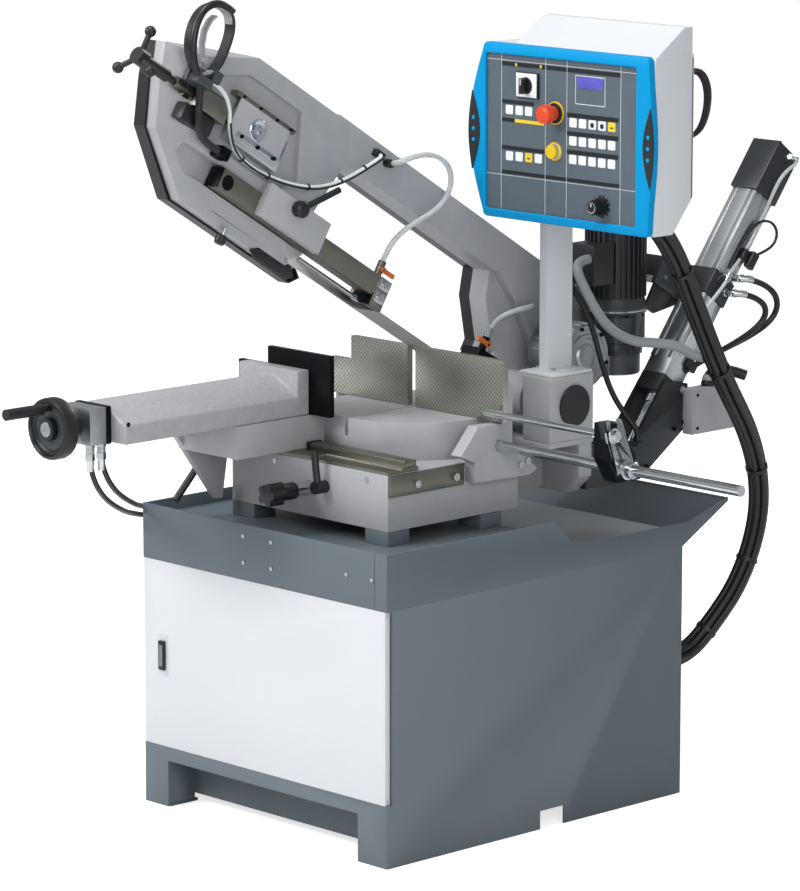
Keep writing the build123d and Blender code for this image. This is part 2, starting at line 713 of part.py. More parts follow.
def vise_lock_lever():
    x1 = VISE_X0 - GAP
    lever = rod_x(x1 - 24.0, x1, LOCK_Y, LOCK_Z, 15.0)
    lever += bar((x1 - 16.0, LOCK_Y, LOCK_Z), (x1 - 20.0, LOCK_TIP_Y, LOCK_TIP_Z), 8.0)
    return lever


def stop_carriage():
    hub_r = STOP_RAIL_R + 14.0
    low = STOP_RAIL_Z - hub_r
    high = STOP_ROD_Z + 26.0
    plate = [(-hub_r, low), (hub_r, low), (hub_r, STOP_RAIL_Z + hub_r), (STOP_ROD_Y + 22.0, high),
             (STOP_ROD_Y - 18.0, high), (STOP_ROD_Y - 18.0, STOP_RAIL_Z + hub_r)]
    carriage = prism_yz(plate, CARRIAGE_X0, CARRIAGE_X1)
    carriage -= rod_x(CARRIAGE_X0 - 1, CARRIAGE_X1 + 1, 0, STOP_RAIL_Z, STOP_RAIL_R + RUN_FIT)
    carriage -= rod_x(CARRIAGE_X0 - 1, CARRIAGE_X1 + 1, STOP_ROD_Y, STOP_ROD_Z, STOP_ROD_R + RUN_FIT)
    return carriage


def stop_rod():
    return rod_x(STOP_ROD_X0, STOP_ROD_X1 + 30.0, STOP_ROD_Y, STOP_ROD_Z, STOP_ROD_R)


save(vise_body(), "vise_body")
save(vise_arm(), "vise_arm")
save(movable_jaw(), "movable_jaw")
save(vise_hydraulic_block(), "vise_hydraulic_block")
save(vise_lead_screw(), "vise_lead_screw")
save(vise_handwheel(), "vise_handwheel")
save(vise_hoses(), "vise_hoses")
save(vise_clamp_lever(), "vise_clamp_lever")
save(turret_lock_knob(), "turret_lock_knob")
save(vise_lock_lever(), "vise_lock_lever")
save(stop_carriage(), "stop_carriage")
save(stop_rod(), "stop_rod")

# Turret group
TABLE_Z0 = BASE_Z1 + GAP
FLANGE_Z = BLOCK_Z1 + FLANGE_T
PANEL_FACE = PANEL_Y0 - 8.0
CHAMFER_Y = 61.0
CHAMFER_Z = 75.0
MEMBRANE_X0 = 155.0
MEMBRANE_X1 = 604.0
MEMBRANE_Z0 = 1337.0
MEMBRANE_Z1 = 1677.0


def turntable():
    table = rod_z(TABLE_Z0, TABLE_Z, 0, 0, TABLE_R)
    table += rod_z(BASE_Z1 - BASE_TOP_T - 5.0, TABLE_Z0 + 1, 0, 0, TRUNNION_R)
    table += box(ARM_X0, ARM_X1, ARM_Y0, CROSS_Y1, ARM_Z0, ARM_Z1)
    corner = 40.0
    cross = [(ARM_X0, ARM_Z0 - 5.0), (BLOCK_X1 - corner, ARM_Z0 - 5.0), (BLOCK_X1, ARM_Z0 - 5.0 + corner),
             (BLOCK_X1, ARM_Z1), (ARM_X0, ARM_Z1)]
    table += prism_xz(cross, CROSS_Y0, CROSS_Y1)
    seat_t = 12.0
    table += box(BLOCK_X0, BLOCK_X1, BLOCK_Y0, BLOCK_Y1, ARM_Z1 - seat_t, ARM_Z1)
    half = BLADE_SLOT / 2
    table -= box(-half, half, -TABLE_R - 1, TABLE_R + 1, TABLE_Z - BLADE_SLOT_D, TABLE_Z + 1)
    half = SLOT_EXIT_W / 2
    table -= box(-half, half, TABLE_R - SLOT_EXIT_L, TABLE_R + 1, TABLE_Z - BLADE_SLOT_D, TABLE_Z + 1)
    table -= rod_x(BOW_NEAR - 2.0, TABLE_R, HINGE_Y, HINGE_Z, LUG_R + 2.0)
    return table


def hinge_block():
    cut = BLOCK_CHAMFER
    outline = [(BLOCK_X0 + cut, BLOCK_Y0), (BLOCK_X1, BLOCK_Y0), (BLOCK_X1, BLOCK_Y1),
               (BLOCK_X0, BLOCK_Y1), (BLOCK_X0, BLOCK_Y0 + cut)]
    block = prism_xy(outline, ARM_Z1, BLOCK_Z1)
    block -= rod_x(BLOCK_X0 - 1, BLOCK_X1 + 1, HINGE_Y, HINGE_Z, HINGE_R + RUN_FIT)
    return block


def hinge_cap():
    return rod_x(BLOCK_X1, BLOCK_X1 + CAP_T, HINGE_Y, HINGE_Z, CAP_R)


def panel_post():
    post = box(POST_X0, POST_X1, POST_Y0, POST_Y1, FLANGE_Z - 1, POST_Z1)
    post += box(BLOCK_X0 + 4.0, BLOCK_X1 - 4.0, BLOCK_Y0 + 12.0, BLOCK_Y1, BLOCK_Z1, FLANGE_Z)
    return post


def panel_box():
    outline = [(PANEL_Y0, PANEL_Z0), (POST_Y0 - CHAMFER_Y, PANEL_Z0), (POST_Y0, PANEL_Z0 + CHAMFER_Z),
               (POST_Y0, PANEL_Z1), (PANEL_Y0, PANEL_Z1)]
    shell = prism_yz(outline, PANEL_X0, PANEL_X1)
    t = PANEL_SHEET
    hollow = [(PANEL_Y0 + t, PANEL_Z0 + t), (POST_Y0 - CHAMFER_Y - t, PANEL_Z0 + t),
              (POST_Y0 - t, PANEL_Z0 + CHAMFER_Z + t), (POST_Y0 - t, PANEL_Z1 - t),
              (PANEL_Y0 + t, PANEL_Z1 - t)]
    shell -= prism_yz(hollow, PANEL_X0 + t, PANEL_X1 - t)
    hood_x0 = 225.0
    hood_x1 = PANEL_X1 - 5.0
    hood = [(PANEL_Y0 + 10.0, PANEL_Z1), (POST_Y0, PANEL_Z1), (POST_Y0, HOOD_Z), (POST_Y0 - 25.0, HOOD_Z)]
    shell += prism_yz(hood, hood_x0, hood_x1)
    shell += box(MEMBRANE_X0 + 1, MEMBRANE_X1 - 1, PANEL_FACE, PANEL_Y0, MEMBRANE_Z0 + 1, MEMBRANE_Z1 - 1)
    for x, z in ((SELECT_X, SELECT_Z), (ESTOP_X, ESTOP_Z), (START_X, START_Z), (SPEED_X, SPEED_Z)):
        shell -= rod_y(PANEL_FACE - 1, PANEL_Y0 + 2 * t, x, z, BUSH_R + RUN_FIT)
    return shell


def panel_frame():
    left = 139.0
    right = 648.0
    bulge_l = 98.0
    bulge_r = 665.0
    low = PANEL_Z0 - 12.0
    high = PANEL_Z1 + 12.0
    ramp = 75.0
    middle = (low + high) / 2
    outline = [(left, low), (right, low), (bulge_r, low + ramp), (bulge_r, high - ramp), (right, high),
               (left, high), (bulge_l, middle + 1.4 * ramp), (bulge_l, middle - 1.4 * ramp)]
    frame = prism_xz(outline, PANEL_Y0 - FRAME_T, PANEL_Y0)
    frame -= box(MEMBRANE_X0, MEMBRANE_X1, PANEL_Y0 - FRAME_T - 1, PANEL_Y0 + 1, MEMBRANE_Z0, MEMBRANE_Z1)
    return frame


def control(x, z, head_r, head_y0, head_y1, stem_y1):
    """Knob or button: a round head before the panel and a stem through its bush."""
    return rod_y(head_y0, head_y1, x, z, head_r) + rod_y(head_y1 - 1, stem_y1, x, z, BUSH_R)


def selector_knob():
    knob = control(SELECT_X, SELECT_Z, 17.0, PANEL_FACE - 12.0, PANEL_FACE - GAP, PANEL_Y0 + 12.0)
    knob += box(SELECT_X - 5.0, SELECT_X + 5.0, PANEL_FACE - 26.0, PANEL_FACE - 11.0,
                SELECT_Z - 17.0, SELECT_Z + 17.0)
    return knob


def estop_button():
    return control(ESTOP_X, ESTOP_Z, 20.0, PANEL_FACE - 40.0, PANEL_FACE - 22.0, PANEL_Y0 + 20.0)


def start_button():
    return control(START_X, START_Z, 15.0, PANEL_FACE - 14.0, PANEL_FACE - 5.0, PANEL_Y0 + 16.0)


def speed_knob():
    knob = control(SPEED_X, SPEED_Z, 14.0, PANEL_FACE - 34.0, PANEL_FACE - GAP, PANEL_Y0 + 12.0)
    return knob + rod_y(PANEL_FACE - 12.0, PANEL_FACE - GAP, SPEED_X, SPEED_Z, 19.0)


EYE_X0 = CYL_X - CYL_HALF - 1.0
EYE_X1 = CYL_X + CYL_HALF + 1.0
LEAD_R = 6.5
LEAD_CLIP_X = EYE_X1 + CHEEK_T + LEAD_R + 2.5
LEAD_CLIP_Y = 432.0
LEAD_CLIP_Z = 790.0
VALVE_X1 = 292.0
VALVE_Y0 = 588.0
VALVE_Y1 = 733.0
VALVE_Z0 = 786.0
VALVE_Z1 = 890.0
VALVE_ELBOW_R = 13.0
BRACKET_Z0 = 700.0
BRACKET_Z1 = 800.0
BRACKET_FOOT_Y = 450.0
BRACKET_BEND_Y = 598.0
BRACKET_BACK_Y = 612.0
BRACKET_BACK_Z = 838.0
BRACKET_TIP_Y = 603.0
BRACKET_TIP_Z = 899.0
BRACKET_TOP_Y = 530.0
BRACKET_TOP_Z = 913.0
BRACKET_SEAT_Y = 540.0


def cylinder_bracket():
    outline = [(CROSS_Y1, BRACKET_Z0), (BRACKET_FOOT_Y, BRACKET_Z0), (BRACKET_BEND_Y, BRACKET_Z1),
               (BRACKET_BACK_Y, BRACKET_BACK_Z), (BRACKET_TIP_Y, BRACKET_TIP_Z),
               (BRACKET_TOP_Y, BRACKET_TOP_Z), (BRACKET_FOOT_Y - 20.0, BRACKET_Z1 - 10.0),
               (CROSS_Y1, BRACKET_Z1)]
    bracket = prism_yz(outline, EYE_X0 - CHEEK_T, EYE_X0)
    bracket += prism_yz(outline, EYE_X1, EYE_X1 + CHEEK_T)
    bracket += box(EYE_X0 - CHEEK_T, EYE_X1 + CHEEK_T, CROSS_Y1, CROSS_Y1 + CHEEK_T, BRACKET_Z0, BRACKET_Z1)
    bracket += rod_x(EYE_X0 - CHEEK_T - 2.0, EYE_X1 + CHEEK_T + 6.0, EYE_Y, EYE_Z, EYE_PIN_R)
    bracket += box(EYE_X1, EYE_X1 + CHEEK_T, BRACKET_SEAT_Y, VALVE_Y1 - 10.0,
                   VALVE_Z0 + 10.0, VALVE_Z1 - 10.0)
    bracket += box(EYE_X1, LEAD_CLIP_X + LEAD_R + 2.0, LEAD_CLIP_Y - 10.0, LEAD_CLIP_Y + 10.0,
                   LEAD_CLIP_Z - 12.0, LEAD_CLIP_Z)
    return bracket


def valve_box():
    x0 = EYE_X1 + CHEEK_T
    valve = box(x0, VALVE_X1, VALVE_Y0, VALVE_Y1, VALVE_Z0, VALVE_Z1)
    x = (x0 + VALVE_X1) / 2
    elbow_y = VALVE_Y0 + 66.0
    elbow_z = VALVE_Z1 + 16.0
    valve += rod_z(VALVE_Z1, elbow_z, x, elbow_y, VALVE_ELBOW_R)
    valve += Pos(x, elbow_y, elbow_z) * Sphere(VALVE_ELBOW_R)
    valve += rod_y(elbow_y, elbow_y + 44.0, x, elbow_z, VALVE_ELBOW_R)
    return valve


BUNDLE_X = 530.0
BUNDLE_ROUTE = [(512, 290, 1245), (495, 372, 1120), (478, 478, 955), (440, 612, 812), (405, 690, 690),
                (398, 694, 580), (385, 650, 455), (362, 578, 360)]


def cable_bundle():
    exit_y = POST_Y0 - CHAMFER_Y / 2
    exit_z = PANEL_Z0 + CHAMFER_Z / 2
    out = 60.0 / math.hypot(CHAMFER_Y, CHAMFER_Z)
    route = [(BUNDLE_X, exit_y, exit_z), (BUNDLE_X, exit_y + out * CHAMFER_Z, exit_z - out * CHAMFER_Y)]
    route += BUNDLE_ROUTE
    end_y = REAR_Y + GLAND_L
    route += [(GLAND_X, end_y + 54.0, GLAND_Z), (GLAND_X, end_y, GLAND_Z)]
    return cord(route, BUNDLE_R)


save(turntable(), "turntable")
save(hinge_block(), "hinge_block")
save(hinge_cap(), "hinge_cap")
save(panel_post(), "panel_post")
save(panel_box(), "panel_box")
save(panel_frame(), "panel_frame")
save(selector_knob(), "selector_knob")
save(estop_button(), "estop_button")
save(start_button(), "start_button")
save(speed_knob(), "speed_knob")
save(cylinder_bracket(), "cylinder_bracket")
save(valve_box(), "valve_box")
save(cable_bundle(), "cable_bundle")

# Bow group
NEAR_INNER = BOW_NEAR - BOW_PLATE
REAR_GUIDE_P0 = -104.0
REAR_GUIDE_P1 = -40.0
REAR_GUIDE_Q1 = 62.0
BAND_R = WHEEL_BAND_R + GAP
BAND_ROOM = WHEEL_BAND_R + BAND_T + 3.0
SCREW_X = 40.0
SCREW_Q = 157.0
TENSION_R = 8.0
CARRIAGE_P0 = -1029.0
CARRIAGE_P1 = -870.0
CARRIAGE_Q0 = 115.0
CARRIAGE_Q1 = 185.0
POCKET_X = 36.0
TONGUE_P = 70.0
TONGUE_Q = 33.0
REAR_WALL = [(5, -22), (5, GUIDE_BOTTOM), (REAR_GUIDE_P1, GUIDE_BOTTOM), (REAR_GUIDE_P1, REAR_GUIDE_Q1),
             (-65, REAR_GUIDE_Q1), (-65, 90), (-133, 166), (-155, BEAM_LOW)]
TOP_EDGE = [(-1240, 228), (-1025, BEAM_TOP), (165, BEAM_TOP), (BOW_TAIL, 206), (BOW_TAIL, -22)]
BEAM_JOIN = -760.0
NOSE_P1 = -690.0     # where the nose meets the beam
NOSE_BACK = [(-1240, 228), (-1025, BEAM_TOP), (NOSE_P1, BEAM_TOP), (NOSE_P1, BEAM_LOW), (-725, 70), (-655, 0),
             (NOSE_P1, -40), (-1035, -38), (-1172, 62), (-1216, 159)]
NOSE_FACE = [(-1160, 238), (-1025, BEAM_TOP - 4), (NOSE_P1, BEAM_TOP - 4), (NOSE_P1, BEAM_LOW), (-725, 70),
             (-740, NOSE_BOTTOM), (-800, NOSE_BOTTOM), (-1040, NOSE_BOTTOM), (-1120, 100), (-1165, 165)]
NOSE_X = 8.0         # where the sloping sides of the nose start
NOSE_HOLLOW_Q = 78.0
NOSE_HOLLOW_P = -735.0
BAND_EXIT_P = -640.0 # end of the band's way out of the nose
BAR_ROOM_P0 = -1110.0
BAR_ROOM_P1 = -600.0
JIB_TOP_Q = 86.0
POCKET = [(-1140, 205), (-1030, 262), (-860, 262), (-795, 130), (-830, 90), (-1100, 90)]
RECESS = [(-151, 231), (-71, 197), (64, 115), (64, 70), (-66, 70), (-66, 90), (-134, 166), (-156, BEAM_LOW)]
COVER_NOSE = [(-689, BEAM_LOW), (-652, 0), (-619, -22), (-641, -45), (-1042, -43), (-1178, 60), (-1221, 159)]


def bow_shell(points, x0, x1, wall, hollow_x0, hollow_x1):
    """Outline drawn out along X, hollowed with an even wall."""
    face = make_face(Polyline(*[bow_point(p, q) for p, q in points], close=True))
    solid = extrude(Plane(origin=(x0, 0, 0), x_dir=(0, 1, 0), z_dir=(1, 0, 0)) * face, amount=x1 - x0)
    inner = offset(face, amount=-wall, kind=Kind.INTERSECTION)
    hollow_plane = Plane(origin=(hollow_x0, 0, 0), x_dir=(0, 1, 0), z_dir=(1, 0, 0))
    return solid - extrude(hollow_plane * inner, amount=hollow_x1 - hollow_x0)


def tongue_box(x0, x1, room, travel):
    return bow_box(x0, x1, IDLER_P - TONGUE_P / 2 - room, IDLER_P + TONGUE_P / 2 + room + travel,
                   WHEEL_Q - TONGUE_Q / 2 - room, WHEEL_Q + TONGUE_Q / 2 + room)


def bow_wire(points, x):
    return Polyline(*[(x, *bow_point(p, q)) for p, q in points], close=True)


def nose():
    """Front of the bow: an even rim that slopes in to the near face."""
    rim = bow_prism(NOSE_BACK, BOW_SPLIT, NOSE_X)
    back = make_face(bow_wire(NOSE_BACK, NOSE_X))
    front = make_face(bow_wire(NOSE_FACE, BOW_NEAR))
    slope = loft([back, front], ruled=True)
    solid = rim + slope
    hollow = [(-1190, 222), (-1020, BEAM_TOP - BOW_WALL), (NOSE_P1, BEAM_TOP - BOW_WALL),
              (NOSE_P1, BEAM_LOW + BOW_WALL), (NOSE_HOLLOW_P, NOSE_HOLLOW_Q), (-1090, NOSE_HOLLOW_Q),
              (-1180, 160)]
    return solid - bow_prism(hollow, BOW_SPLIT - 1, NEAR_INNER)


def bow_casting():
    beam = TOP_EDGE[2:] + REAR_WALL + [(BEAM_JOIN, BEAM_LOW), (BEAM_JOIN, BEAM_TOP)]
    casting = bow_shell(beam, BOW_SPLIT, BOW_NEAR, BOW_WALL, BOW_SPLIT - 1, NEAR_INNER)
    casting += nose()
    casting -= bow_box(BOW_SPLIT - 1, NEAR_INNER, BEAM_JOIN - 1, NOSE_P1,
                       BEAM_LOW + BOW_WALL, BEAM_TOP - BOW_WALL)
    band_side = BAND_W / 2 + 2.5
    casting -= bow_rod(BOW_SPLIT - 1, NEAR_INNER, DRIVE_P, WHEEL_Q, BAND_ROOM)
    casting -= bow_rod(BOW_SPLIT - 1, band_side, IDLER_P, WHEEL_Q, BAND_ROOM)
    casting -= bow_box(BOW_SPLIT - 1, band_side, IDLER_P, BAND_EXIT_P, -20, GUIDE_Q0 + 2.0)
    bar_room = 2.0
    casting -= bow_box(GUIDE_X0 - bar_room, GUIDE_X1 + 20.0, BAR_ROOM_P0, BAR_ROOM_P1,
                       GUIDE_Q0 - bar_room, NOSE_BOTTOM)
    slot = BAND_W / 2 + 4.0
    casting -= bow_box(-slot, slot, REAR_GUIDE_P1 - 1, DRIVE_P, -40, GUIDE_Q0 + 2.0)
    casting -= bow_rod(NEAR_INNER - 1, BOW_NEAR + 1, DRIVE_P, WHEEL_Q, DRIVE_SHAFT_R + 4.0)
    casting -= bow_prism(POCKET, POCKET_X, BOW_NEAR + 1)
    casting -= bow_prism(RECESS, BOW_NEAR - 20.0, BOW_NEAR + 1)
    casting -= tongue_box(NEAR_INNER - 1, BOW_NEAR + 1, GAP, TRAVEL_TENSION)
    casting -= tension_bar(-1240, IDLER_P, TENSION_R + RUN_FIT)
    casting += bow_rod(BOW_NEAR - 1, LUG_X1, 0, 0, LUG_R)
    casting -= bow_rod(BOW_NEAR + 2.0, LUG_X1 + 1, 0, 0, HINGE_R + RUN_FIT)
    jib = 18.0
    jib_x0 = GUIDE_X1 + GAP
    casting += bow_box(BOW_NEAR - 5.0, jib_x0 + jib, CLAMP_P0, CLAMP_P1, GUIDE_Q1 + GAP, JIB_TOP_Q)
    casting += bow_box(jib_x0, jib_x0 + jib, CLAMP_P0, CLAMP_P1, GUIDE_Q0, JIB_TOP_Q)
    casting += bow_box(GUIDE_X0, BOW_NEAR, CLAMP_P0, NOSE_HOLLOW_P, GUIDE_Q1 + GAP, NOSE_BOTTOM + 1)
    return raised(casting)


def tension_bar(p0, p1, radius):
    _, z = bow_point(0, SCREW_Q)
    return rod_y(HINGE_Y + p0, HINGE_Y + p1, SCREW_X, z, radius)


def blade_cover():
    cover = bow_shell(TOP_EDGE + REAR_WALL + COVER_NOSE, BOW_FAR, BOW_SPLIT, COVER_WALL,
                      BOW_FAR + COVER_WALL, BOW_SPLIT + 1)
    return raised(cover)


def hinge_shaft():
    return rod_x(BOW_NEAR + 2.0 + GAP, BLOCK_X1 - GAP, HINGE_Y, HINGE_Z, HINGE_R)


def band_wheel(p, bore):
    half = WHEEL_BAND_W / 2
    rim = 18.0
    hub_r = 42.0
    wheel = bow_rod(-half, half, p, WHEEL_Q, WHEEL_BAND_R)
    for x0, x1 in ((-half - 1, -5.0), (5.0, half + 1)):
        wheel -= bow_rod(x0, x1, p, WHEEL_Q, WHEEL_BAND_R - rim) - bow_rod(x0 - 1, x1 + 1, p, WHEEL_Q, hub_r)
    windows = 5
    reach = (hub_r + WHEEL_BAND_R - rim) / 2
    for n in range(windows):
        turn = 2 * math.pi * n / windows
        wheel -= bow_rod(-half, half, p + reach * math.cos(turn), WHEEL_Q + reach * math.sin(turn), 28.0)
    if bore:
        wheel -= bow_rod(-half - 1, half + 1, p, WHEEL_Q, bore)
    return wheel


def drive_wheel():
    shaft_end = 100.0
    return raised(band_wheel(DRIVE_P, 0) + bow_rod(0, shaft_end, DRIVE_P, WHEEL_Q, DRIVE_SHAFT_R))


def idler_wheel():
    return raised(band_wheel(IDLER_P, IDLER_SHAFT_R + RUN_FIT))


def tension_carriage():
    block = bow_box(POCKET_X + GAP, BOW_NEAR + 10.0, CARRIAGE_P0, CARRIAGE_P1, CARRIAGE_Q0, CARRIAGE_Q1)
    side = WHEEL_BAND_W / 2 + 2.0
    block += tongue_box(side, BOW_NEAR, 0, 0)
    block += bow_rod(-side - 3.0, side + 1, IDLER_P, WHEEL_Q, IDLER_SHAFT_R)
    block += bow_rod(-side - 4.0, -side, IDLER_P, WHEEL_Q, IDLER_SHAFT_R + 8.0)
    block -= tension_bar(CARRIAGE_P0 - 1, CARRIAGE_P0 + 40.0, TENSION_R + RUN_FIT)
    return raised(block)


def tension_knob():
    hub_p = -1312.0
    reach = 58.0
    arm_r = 6.0
    knob = tension_bar(hub_p, CARRIAGE_P0 + 30.0, TENSION_R)
    knob += tension_bar(hub_p, -1226, 13.0)
    knob += tension_bar(hub_p - 10.0, hub_p + 16.0, 18.0)
    y, z = bow_point(hub_p, SCREW_Q)
    hub = Axis((SCREW_X, y, z), (0, 1, 0))
    spoke = bar((SCREW_X, y, z + arm_r), (SCREW_X, y, z + reach), arm_r)
    spoke += Pos(SCREW_X, y, z + reach) * Sphere(2 * arm_r)
    for n in range(3):
        knob += spoke.rotate(hub, 120 * n)
    return raised(knob)


def band_run(p0, p1, turn0, turn1, steps):
    """Stretch of the band between two places, turned evenly about its own line."""
    sections = []
    for n in range(steps + 1):
        share = n / steps
        y, z = bow_point(p0 + (p1 - p0) * share, WHEEL_Q - BAND_R - BAND_T / 2)
        turn = math.radians(turn0 + (turn1 - turn0) * share)
        plane = Plane(origin=(0, y, z), x_dir=(math.cos(turn), 0, math.sin(turn)), z_dir=(0, 1, 0))
        sections.append(plane * Rectangle(BAND_W, BAND_T))
    return loft(sections, ruled=True)


def saw_blade():
    half = BAND_W / 2
    outer = BAND_R + BAND_T
    loop = bow_rod(-half, half, DRIVE_P, WHEEL_Q, outer) + bow_rod(-half, half, IDLER_P, WHEEL_Q, outer)
    loop += bow_box(-half, half, IDLER_P, DRIVE_P, WHEEL_Q, WHEEL_Q + outer)
    inner = bow_rod(-half - 1, half + 1, DRIVE_P, WHEEL_Q, BAND_R)
    inner += bow_rod(-half - 1, half + 1, IDLER_P, WHEEL_Q, BAND_R)
    inner += bow_box(-half - 1, half + 1, IDLER_P, DRIVE_P, WHEEL_Q - 2 * BAND_R, WHEEL_Q + BAND_R)
    steps = 6
    band = loop - inner
    band += band_run(IDLER_P, IDLER_P + BAND_FLAT_L, 0, 0, 1)
    band += band_run(IDLER_P + BAND_FLAT_L, BAND_STRAIGHT_P0, 0, 90, steps)
    band += band_run(BAND_STRAIGHT_P0, BAND_STRAIGHT_P1, 90, 90, 1)
    band += band_run(BAND_STRAIGHT_P1, DRIVE_P - BAND_FLAT_L, 90, 180, steps)
    band += band_run(DRIVE_P - BAND_FLAT_L, DRIVE_P, 180, 180, 1)
    return raised(band)


BLADE_ROOM = 1.2
VALVE_R = 9.0
VALVE_PIN_R = 3.0
LEVER_T = 6.0
LEVER_L = 36.0
FRONT_VALVE = (30.0, -462.0)     # X and P of the valve on the guide head
FRONT_VALVE_Q1 = 100.0
REAR_VALVE = (30.0, -84.0)
REAR_VALVE_Q1 = 94.0


def blade_cut(p0, p1):
    return bow_box(-BLADE_ROOM, BLADE_ROOM, p0 - 1, p1 + 1, GUIDE_BOTTOM - 1, GUIDE_Q0)


def upright(x, p, q0, q1, radius):
    return rod_z(HINGE_Z + q0, HINGE_Z + q1, x, HINGE_Y + p, radius)


def valve(place, q0, q1):
    """Small tap that stands on a blade guide, with the pin its lever turns on."""
    x, p = place
    body = upright(x, p, q0, q1, VALVE_R)
    pin_q = (q0 + q1) / 2
    body += bow_rod(x, x + VALVE_R + LEVER_T + 2 * GAP, p, pin_q, VALVE_PIN_R)
    return body


def valve_lever(place, q0, q1, end):
    x, p = place
    pin_q = (q0 + q1) / 2
    x0 = x + VALVE_R + GAP
    lever = bow_rod(x0, x0 + LEVER_T, p, pin_q, 7.0)
    tip_p = p + end * LEVER_L
    lever += bow_box(x0, x0 + LEVER_T, min(p, tip_p), max(p, tip_p), pin_q - 5.0, pin_q + 5.0)
    lever -= bow_rod(x0 - 1, x0 + LEVER_T + 1, p, pin_q, VALVE_PIN_R + RUN_FIT)
    return raised(lever)


def guide_arm():
    arm = bow_box(GUIDE_X0, GUIDE_X1, GUIDE_P0, GUIDE_P1, GUIDE_Q0, GUIDE_Q1)
    arm += bow_box(GUIDE_FAR, GUIDE_X1, GUIDE_P1 - GUIDE_HEAD, GUIDE_P1, GUIDE_BOTTOM, GUIDE_Q1)
    arm -= blade_cut(GUIDE_P1 - GUIDE_HEAD, GUIDE_P1)
    arm += valve(FRONT_VALVE, GUIDE_Q1, FRONT_VALVE_Q1)
    return raised(arm)


def rear_guide():
    guide = bow_box(GUIDE_FAR, BOW_NEAR - 4.0, REAR_GUIDE_P0, REAR_GUIDE_P1, GUIDE_BOTTOM, REAR_GUIDE_Q1)
    guide -= blade_cut(REAR_GUIDE_P0, REAR_GUIDE_P1)
    guide += valve(REAR_VALVE, REAR_GUIDE_Q1, REAR_VALVE_Q1)
    return raised(guide)


def guide_lever():
    p = -791.0
    q = 71.0
    tip_p = -719.0
    tip_q = 153.0
    x0 = GUIDE_X1 + 2 * GAP + 18.0
    lever = bow_rod(x0, x0 + 22.0, p, q, 15.0)
    y0, z0 = bow_point(p, q)
    y1, z1 = bow_point(tip_p, tip_q)
    lever += bar((x0 + 13.0, y0, z0), (x0 + 17.0, y1, z1), 7.0)
    return raised(lever)


LOOP_X = 72.0
LOOP_R = 9.0
LOOP_CORNERS = [(-1176, 184), (-1132, 214), (-1134, 296), (-1180, 336), (-1244, 318), (-1258, 262),
                (-1222, 206)]
LOOP_FOOT_P0 = -1200.0
LOOP_FOOT_P1 = -1140.0
LOOP_FOOT_Q0 = 166.0
LOOP_FOOT_Q1 = 206.0
BRACE_POINTS = [(-1162, 170), (-1122, 100), (-1086, 78), (-1030, 78)]
BRACE_PAD = (-1034, 79)
TRIGGER = (-1176.0, 222.0)
TRIGGER_PIN_R = 3.0
EAR_T = 3.0
TRIGGER_T = 10.0


def loop_handle():
    """Closed hand loop on the nose, on a foot, with the tube that braces it."""
    points = [(LOOP_X, *bow_point(p, q)) for p, q in LOOP_CORNERS]
    path = FilletPolyline(*points, radius=24.0, close=True)
    start = path @ 0
    ring = sweep(Plane(origin=start, z_dir=path % 0) * Circle(LOOP_R), path=path)
    foot = bow_box(BOW_NEAR, LOOP_X + LOOP_R + 6.0, LOOP_FOOT_P0, LOOP_FOOT_P1, LOOP_FOOT_Q0, LOOP_FOOT_Q1)
    tube = FilletPolyline(*[(LOOP_X, *bow_point(p, q)) for p, q in BRACE_POINTS], radius=20.0)
    foot += sweep(Plane(origin=tube @ 0, z_dir=tube % 0) * Circle(LOOP_R - 1), path=tube)
    pad_p, pad_q = BRACE_PAD
    foot += bow_box(BOW_NEAR, LOOP_X + LOOP_R, pad_p - 8.0, pad_p + 8.0, pad_q - LOOP_R, pad_q + LOOP_R)
    side = TRIGGER_T / 2 + GAP
    p, q = TRIGGER
    for x0 in (LOOP_X - side - EAR_T, LOOP_X + side):
        foot += bow_box(x0, x0 + EAR_T, p - 8.0, p + 8.0, LOOP_FOOT_Q1 - 6.0, q + 8.0)
    foot += bow_rod(LOOP_X - side, LOOP_X + side, p, q, TRIGGER_PIN_R)
    return raised(ring + foot)


def handle_trigger():
    p, q = TRIGGER
    half = TRIGGER_T / 2
    lever = bow_rod(LOOP_X - half, LOOP_X + half, p, q, 7.0)
    lever += bow_box(LOOP_X - half, LOOP_X + half, p - 5.0, p + 5.0, q, q + 62.0)
    lever -= bow_rod(LOOP_X - half - 1, LOOP_X + half + 1, p, q, TRIGGER_PIN_R + RUN_FIT)
    return raised(lever)


CABLE_R = 4.5
BOW_CABLE_ROUTE = [(76, -1140, 192), (76, -1104, 192), (74, -1066, 170), (70, -1040, 128), (66, -1000, 98),
                   (64, -944, 92), (64, -880, 98), (65, -812, 114), (66, -752, 138), (66, -706, 172),
                   (66, -668, 212), (68, -640, 250), (74, -618, 284), (50, -618, 284)]
HOSE_CLEAR_R = 6.0
GUIDE_HOSE_ROUTE = [(50, -584, 280), (78, -584, 280), (96, -566, 306), (102, -528, 336), (104, -482, 346),
                    (100, -440, 332), (92, -416, 296), (80, -420, 252), (64, -440, 216), (46, -456, 180),
                    (30, -462, 140), (30, -462, 100)]


def bow_cord(route, radius):
    return raised(cord([(x, *bow_point(p, q)) for x, p, q in route], radius))


